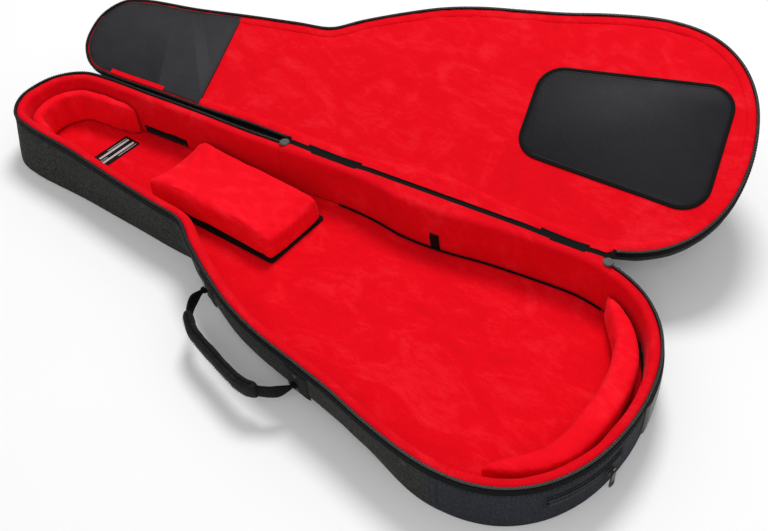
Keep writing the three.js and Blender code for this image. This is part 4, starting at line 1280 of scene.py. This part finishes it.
def lid_face(x, y):
    """Soft waves in the lid's plush, with a few long folds over the shoulders."""
    p = Vector((x / 95, y / 70, 6.0))
    wave = 0.9 * noise.noise(p) + 0.35 * noise.noise(p * 2.6)
    for ax, ay, angle, run, deep in LID_FOLDS:
        c, d = math.cos(angle), math.sin(angle)
        u, w = (x - ax) * c + (y - ay) * d, -(x - ax) * d + (y - ay) * c
        wave += deep * math.exp(-((u / run) ** 2) - (w / 7.0) ** 2)
    return wave + 0.2


sheet = plate(1.5, LID_BACK - 8.5, LID_RIM - 0.4, lid_face, 60, 7.0)
lid_plush = piece("lid_plush", *sheet, "lid", "plush", ["lid_lining"], 60, lid=True)
LID_ROLL = [(-2, 2), (-1, -0.3), (2, -1.4), (5, -1.9), (8.6, -1.9)]


def lid_roll(share, s):
    """Section of the lid's rolled plush edge, which reaches out to the hinge line along the hinge."""
    reach = hinge_reach(s, 4.0)
    k = smooth(reach / 4)
    end = LINING_EDGE + max(reach, 0.3)
    rows = [(o, z - 1.6 * k * smooth((o - 1) / 6)) for o, z in LID_ROLL]
    back = LINING_EDGE
    rows += [(11.4, -1.2 - 2.3 * k), (back, -0.8 - 2.7 * k), (end, -0.4 - 2.9 * k), (end, 0.2 - 2.7 * k)]
    rows += [(back, 0.8 - 3.3 * k), (back, 15.4), (-2, 15.4)]
    return [(o, LID_RIM + z) for o, z in rows]


roll = sweep(
    "lid_plush_edge", lid_roll, 0, ROUND, "lid", "plush", step=3.0, closed=True, lid=True, crease=70
)
soften(roll, 0.7, 20, 5)
TAPE_L = [(o, 2 * AXIS_Z - z) for o, z in TAPE]
sweep("zip_tape_lid", TAPE_L, ZIP_S0, ZIP_S1, "lid", "tape", ["lid_zip_tape"], lid=True, crease=50)
teeth("zip_teeth_lid", ZIP_S0, ZIP_S1, 2 * AXIS_Z - TEETH, -1, "lid", ["lid_zip_coil"], lid=True)
rim_stitches("zip_stitch_lid", ZIP_S0, ZIP_S1, 17.2, LID_RIM + 7.4, "lid", lid=True)

# Patches of grained cloth on the lid's lining.
HEAD_PATCH_X = 238
s = np.linspace(far(HEAD_PATCH_X), ROUND + near(HEAD_PATCH_X), 160)
edge, _ = rim(s, 10.5)
cut = np.linspace(edge[-1], edge[0], 24)[1:-1]
patch = np.vstack([edge, cut])
middle = patch.mean(0)


def sheet_rows(outline, z_top, thick, inset=0.6):
    centre = outline.mean(0)
    d = outline - centre
    run = np.linalg.norm(d, axis=1)[:, None]
    shrunk = outline - d / run * inset
    return [(outline, z_top + thick), (outline, z_top + inset), (shrunk, z_top)]


cloth = stack(sheet_rows(patch, LID_RIM - 2.7, 2.6))
piece("headstock_patch_cloth", *cloth, "lid", "patch_head", ["headstock_patch"], 50, lid=True)
hem = patch - (patch - middle) / np.linalg.norm(patch - middle, axis=1)[:, None] * 3.4
path = np.column_stack([hem, np.full(len(hem), LID_RIM - 2.8)])
path = opened(np.vstack([path, path[:1]]))
stitches("headstock_stitch", path, np.tile(-np.array(LID_UP), (len(path), 1)), "lid")

BRIDGE = [(LENGTH - 296, -74), (LENGTH - 26, -92), (LENGTH - 32, 104), (LENGTH - 296, 64)]


def rounded(corners, radius, grow=0.0, steps=10):
    """A convex plan with rounded corners, grown outwards by grow."""
    corners = [Vector(c) for c in corners]
    points = []
    for i, p in enumerate(corners):
        before = (p - corners[i - 1]).normalized()
        after = (corners[(i + 1) % len(corners)] - p).normalized()
        start = math.atan2(-before.x, before.y)
        turn = (math.atan2(-after.x, after.y) - start) % (2 * math.pi)
        middle = start + turn / 2
        centre = p - Vector((math.cos(middle), math.sin(middle))) * radius / math.cos(turn / 2)
        for k in range(steps + 1):
            angle = start + turn * k / steps
            dx, dy = (radius + grow) * math.cos(angle), (radius + grow) * math.sin(angle)
            points.append((centre.x + dx, centre.y + dy))
    return np.array(points)


def bridge_line(grow, lift):
    """The bridge patch's outline, grown by some millimetres, at a height over the lid's rim."""
    line = rounded(BRIDGE, 34, grow)
    return np.column_stack([line, np.full(len(line), LID_RIM + lift)])


cloth = stack(sheet_rows(bridge_line(0, 0)[:, :2], LID_RIM - 1.8, 2.4))
piece("bridge_patch_cloth", *cloth, "lid", "patch", ["bridge_patch"], 50, lid=True)
binding = ((-0.4, -0.2), (-0.4, -1.8), (0.6, -2.4), (2.7, -2.6), (4.8, -2.3), (5.3, -1.4), (5.3, 0.2))
rows = np.array([bridge_line(grow, lift) for grow, lift in binding]).transpose(1, 0, 2)
faces = grid_faces(*rows.shape[:2], close_rows=True)
piece("bridge_patch_binding", rows.reshape(-1, 3), faces, "lid", "tape", ["bridge_binding"], 50, lid=True)
for k, (grow, lift) in enumerate(((-2.4, -2.0), (1.0, -2.6))):
    path = opened(bridge_line(grow, lift))
    path = np.vstack([path, path[:1]])
    stitches(f"bridge_stitch_{k}", path, np.tile(-np.array(LID_UP), (len(path), 1)), "lid")
TAG_ROWS = [(o, LID_RIM + z) for o, z in ((3.6, -2.9), (10.8, -2.9), (10.8, -3.5), (3.6, -3.5))]
sweep("lid_tag_strip", TAG_ROWS, far(168), far(63), "lid", "plush", ["lid_tag"], lid=True)


# ---- Lid: flat pocket on the outside, with its zip ----
POCKET_X, POCKET_IN = 500, -26
s = np.linspace(near(POCKET_X), far(POCKET_X), 150)
levels = []
for inset, z in ((POCKET_IN, 0.2), (POCKET_IN, 5), (-26.6, 8.5), (-29, 11.2), (-34, 12.3)):
    p, _ = rim(s, inset)
    p[:, 0] = np.maximum(p[:, 0], POCKET_X + (POCKET_IN - inset))
    cut = np.linspace(p[-1], p[0], 30)[1:-1]
    levels.append((np.vstack([p, cut]), LID_BACK + z))
piece("lid_pocket_cloth", *stack(levels), "lid", "heather", ["front_pocket"], 60, lid=True)
turn = math.atan(HINGE_SLOPE)
for name, wide, z0, z1, look, nodes in (
    ("lid_pocket_tape", 16, 12.5, 13.3, "tape", ["front_pocket_zip"]),
    ("lid_pocket_coil", 4.2, 13.2, 14.0, "coil", []),
):
    outline = rounded_box(745, -60, 300, wide, 0.8, turn, 2)
    piece(name, *stack([(outline, LID_BACK + z0), (outline, LID_BACK + z1)]), "lid", look, nodes, lid=True)


# ---- Stage, light and camera ----
def stage_floor():
    mesh = bpy.data.meshes.new("floor")
    mesh.from_pydata([(-12, -12, 0), (12, -12, 0), (12, 12, 0), (-12, 12, 0)], [], [(0, 1, 2, 3)])
    floor = bpy.data.objects.new("floor", mesh)
    bpy.context.scene.collection.objects.link(floor)
    floor.location.z = min(cad_box[0].z, 0.0) - 0.001
    look = Look("pale_floor", 0.9, Specular_IOR_Level=0.1)
    shade = look.ramp(look.noise(1.5, 2), [(0.3, (0.86, 0.86, 0.86)), (0.7, (0.9, 0.9, 0.9))])
    mesh.materials.append(look.finish(shade, look.noise(400), 0.0001, 0.1))


stage_floor()
scene = bpy.context.scene
scene.view_settings.view_transform = "Standard"
world = bpy.data.worlds.new("studio")
world.use_nodes = True
world.node_tree.nodes["Background"].inputs["Color"].default_value = (1, 1, 1, 1)
world.node_tree.nodes["Background"].inputs["Strength"].default_value = 0.5
scene.world = world


def softbox(name, place, target, size, power):
    light = bpy.data.lights.new(name, "AREA")
    light.shape, light.size, light.energy = "DISK", size, power
    obj = bpy.data.objects.new(name, light)
    scene.collection.objects.link(obj)
    obj.location = place
    obj.rotation_euler = (Vector(target) - Vector(place)).to_track_quat("-Z", "Y").to_euler()


MIDDLE = (0.55, 0.15, 0.05)
softbox("key_light", (0.1, 1.3, 2.6), MIDDLE, 1.0, 52)
softbox("fill_light", (1.9, -1.5, 2.2), MIDDLE, 1.6, 20)

# Camera: place, aim and focal length in pixels of the 768 x 531 frame, and the view's centre.
WIDTH, HEIGHT = 768, 531
EYE = Vector((1.2203, -0.5546, 0.9379))
AIM = Vector((-0.3876, 0.5494, -0.7402))
FOCAL, CENTRE_X, CENTRE_Y, ROLL = 895.1, 472.6, 266.4, -0.005
camera = bpy.data.objects.new("camera", bpy.data.cameras.new("camera"))
scene.collection.objects.link(camera)
camera.location = EYE
camera.rotation_mode = "QUATERNION"
camera.rotation_quaternion = AIM.to_track_quat("-Z", "Y") @ Matrix.Rotation(ROLL, 3, "Z").to_quaternion()
camera.data.sensor_width = 36
camera.data.lens = FOCAL * 36 / WIDTH
camera.data.shift_x = (WIDTH / 2 - CENTRE_X) / WIDTH
camera.data.shift_y = (CENTRE_Y - HEIGHT / 2) / WIDTH
camera.data.clip_start, camera.data.clip_end = 0.01, 60
scene.camera = camera
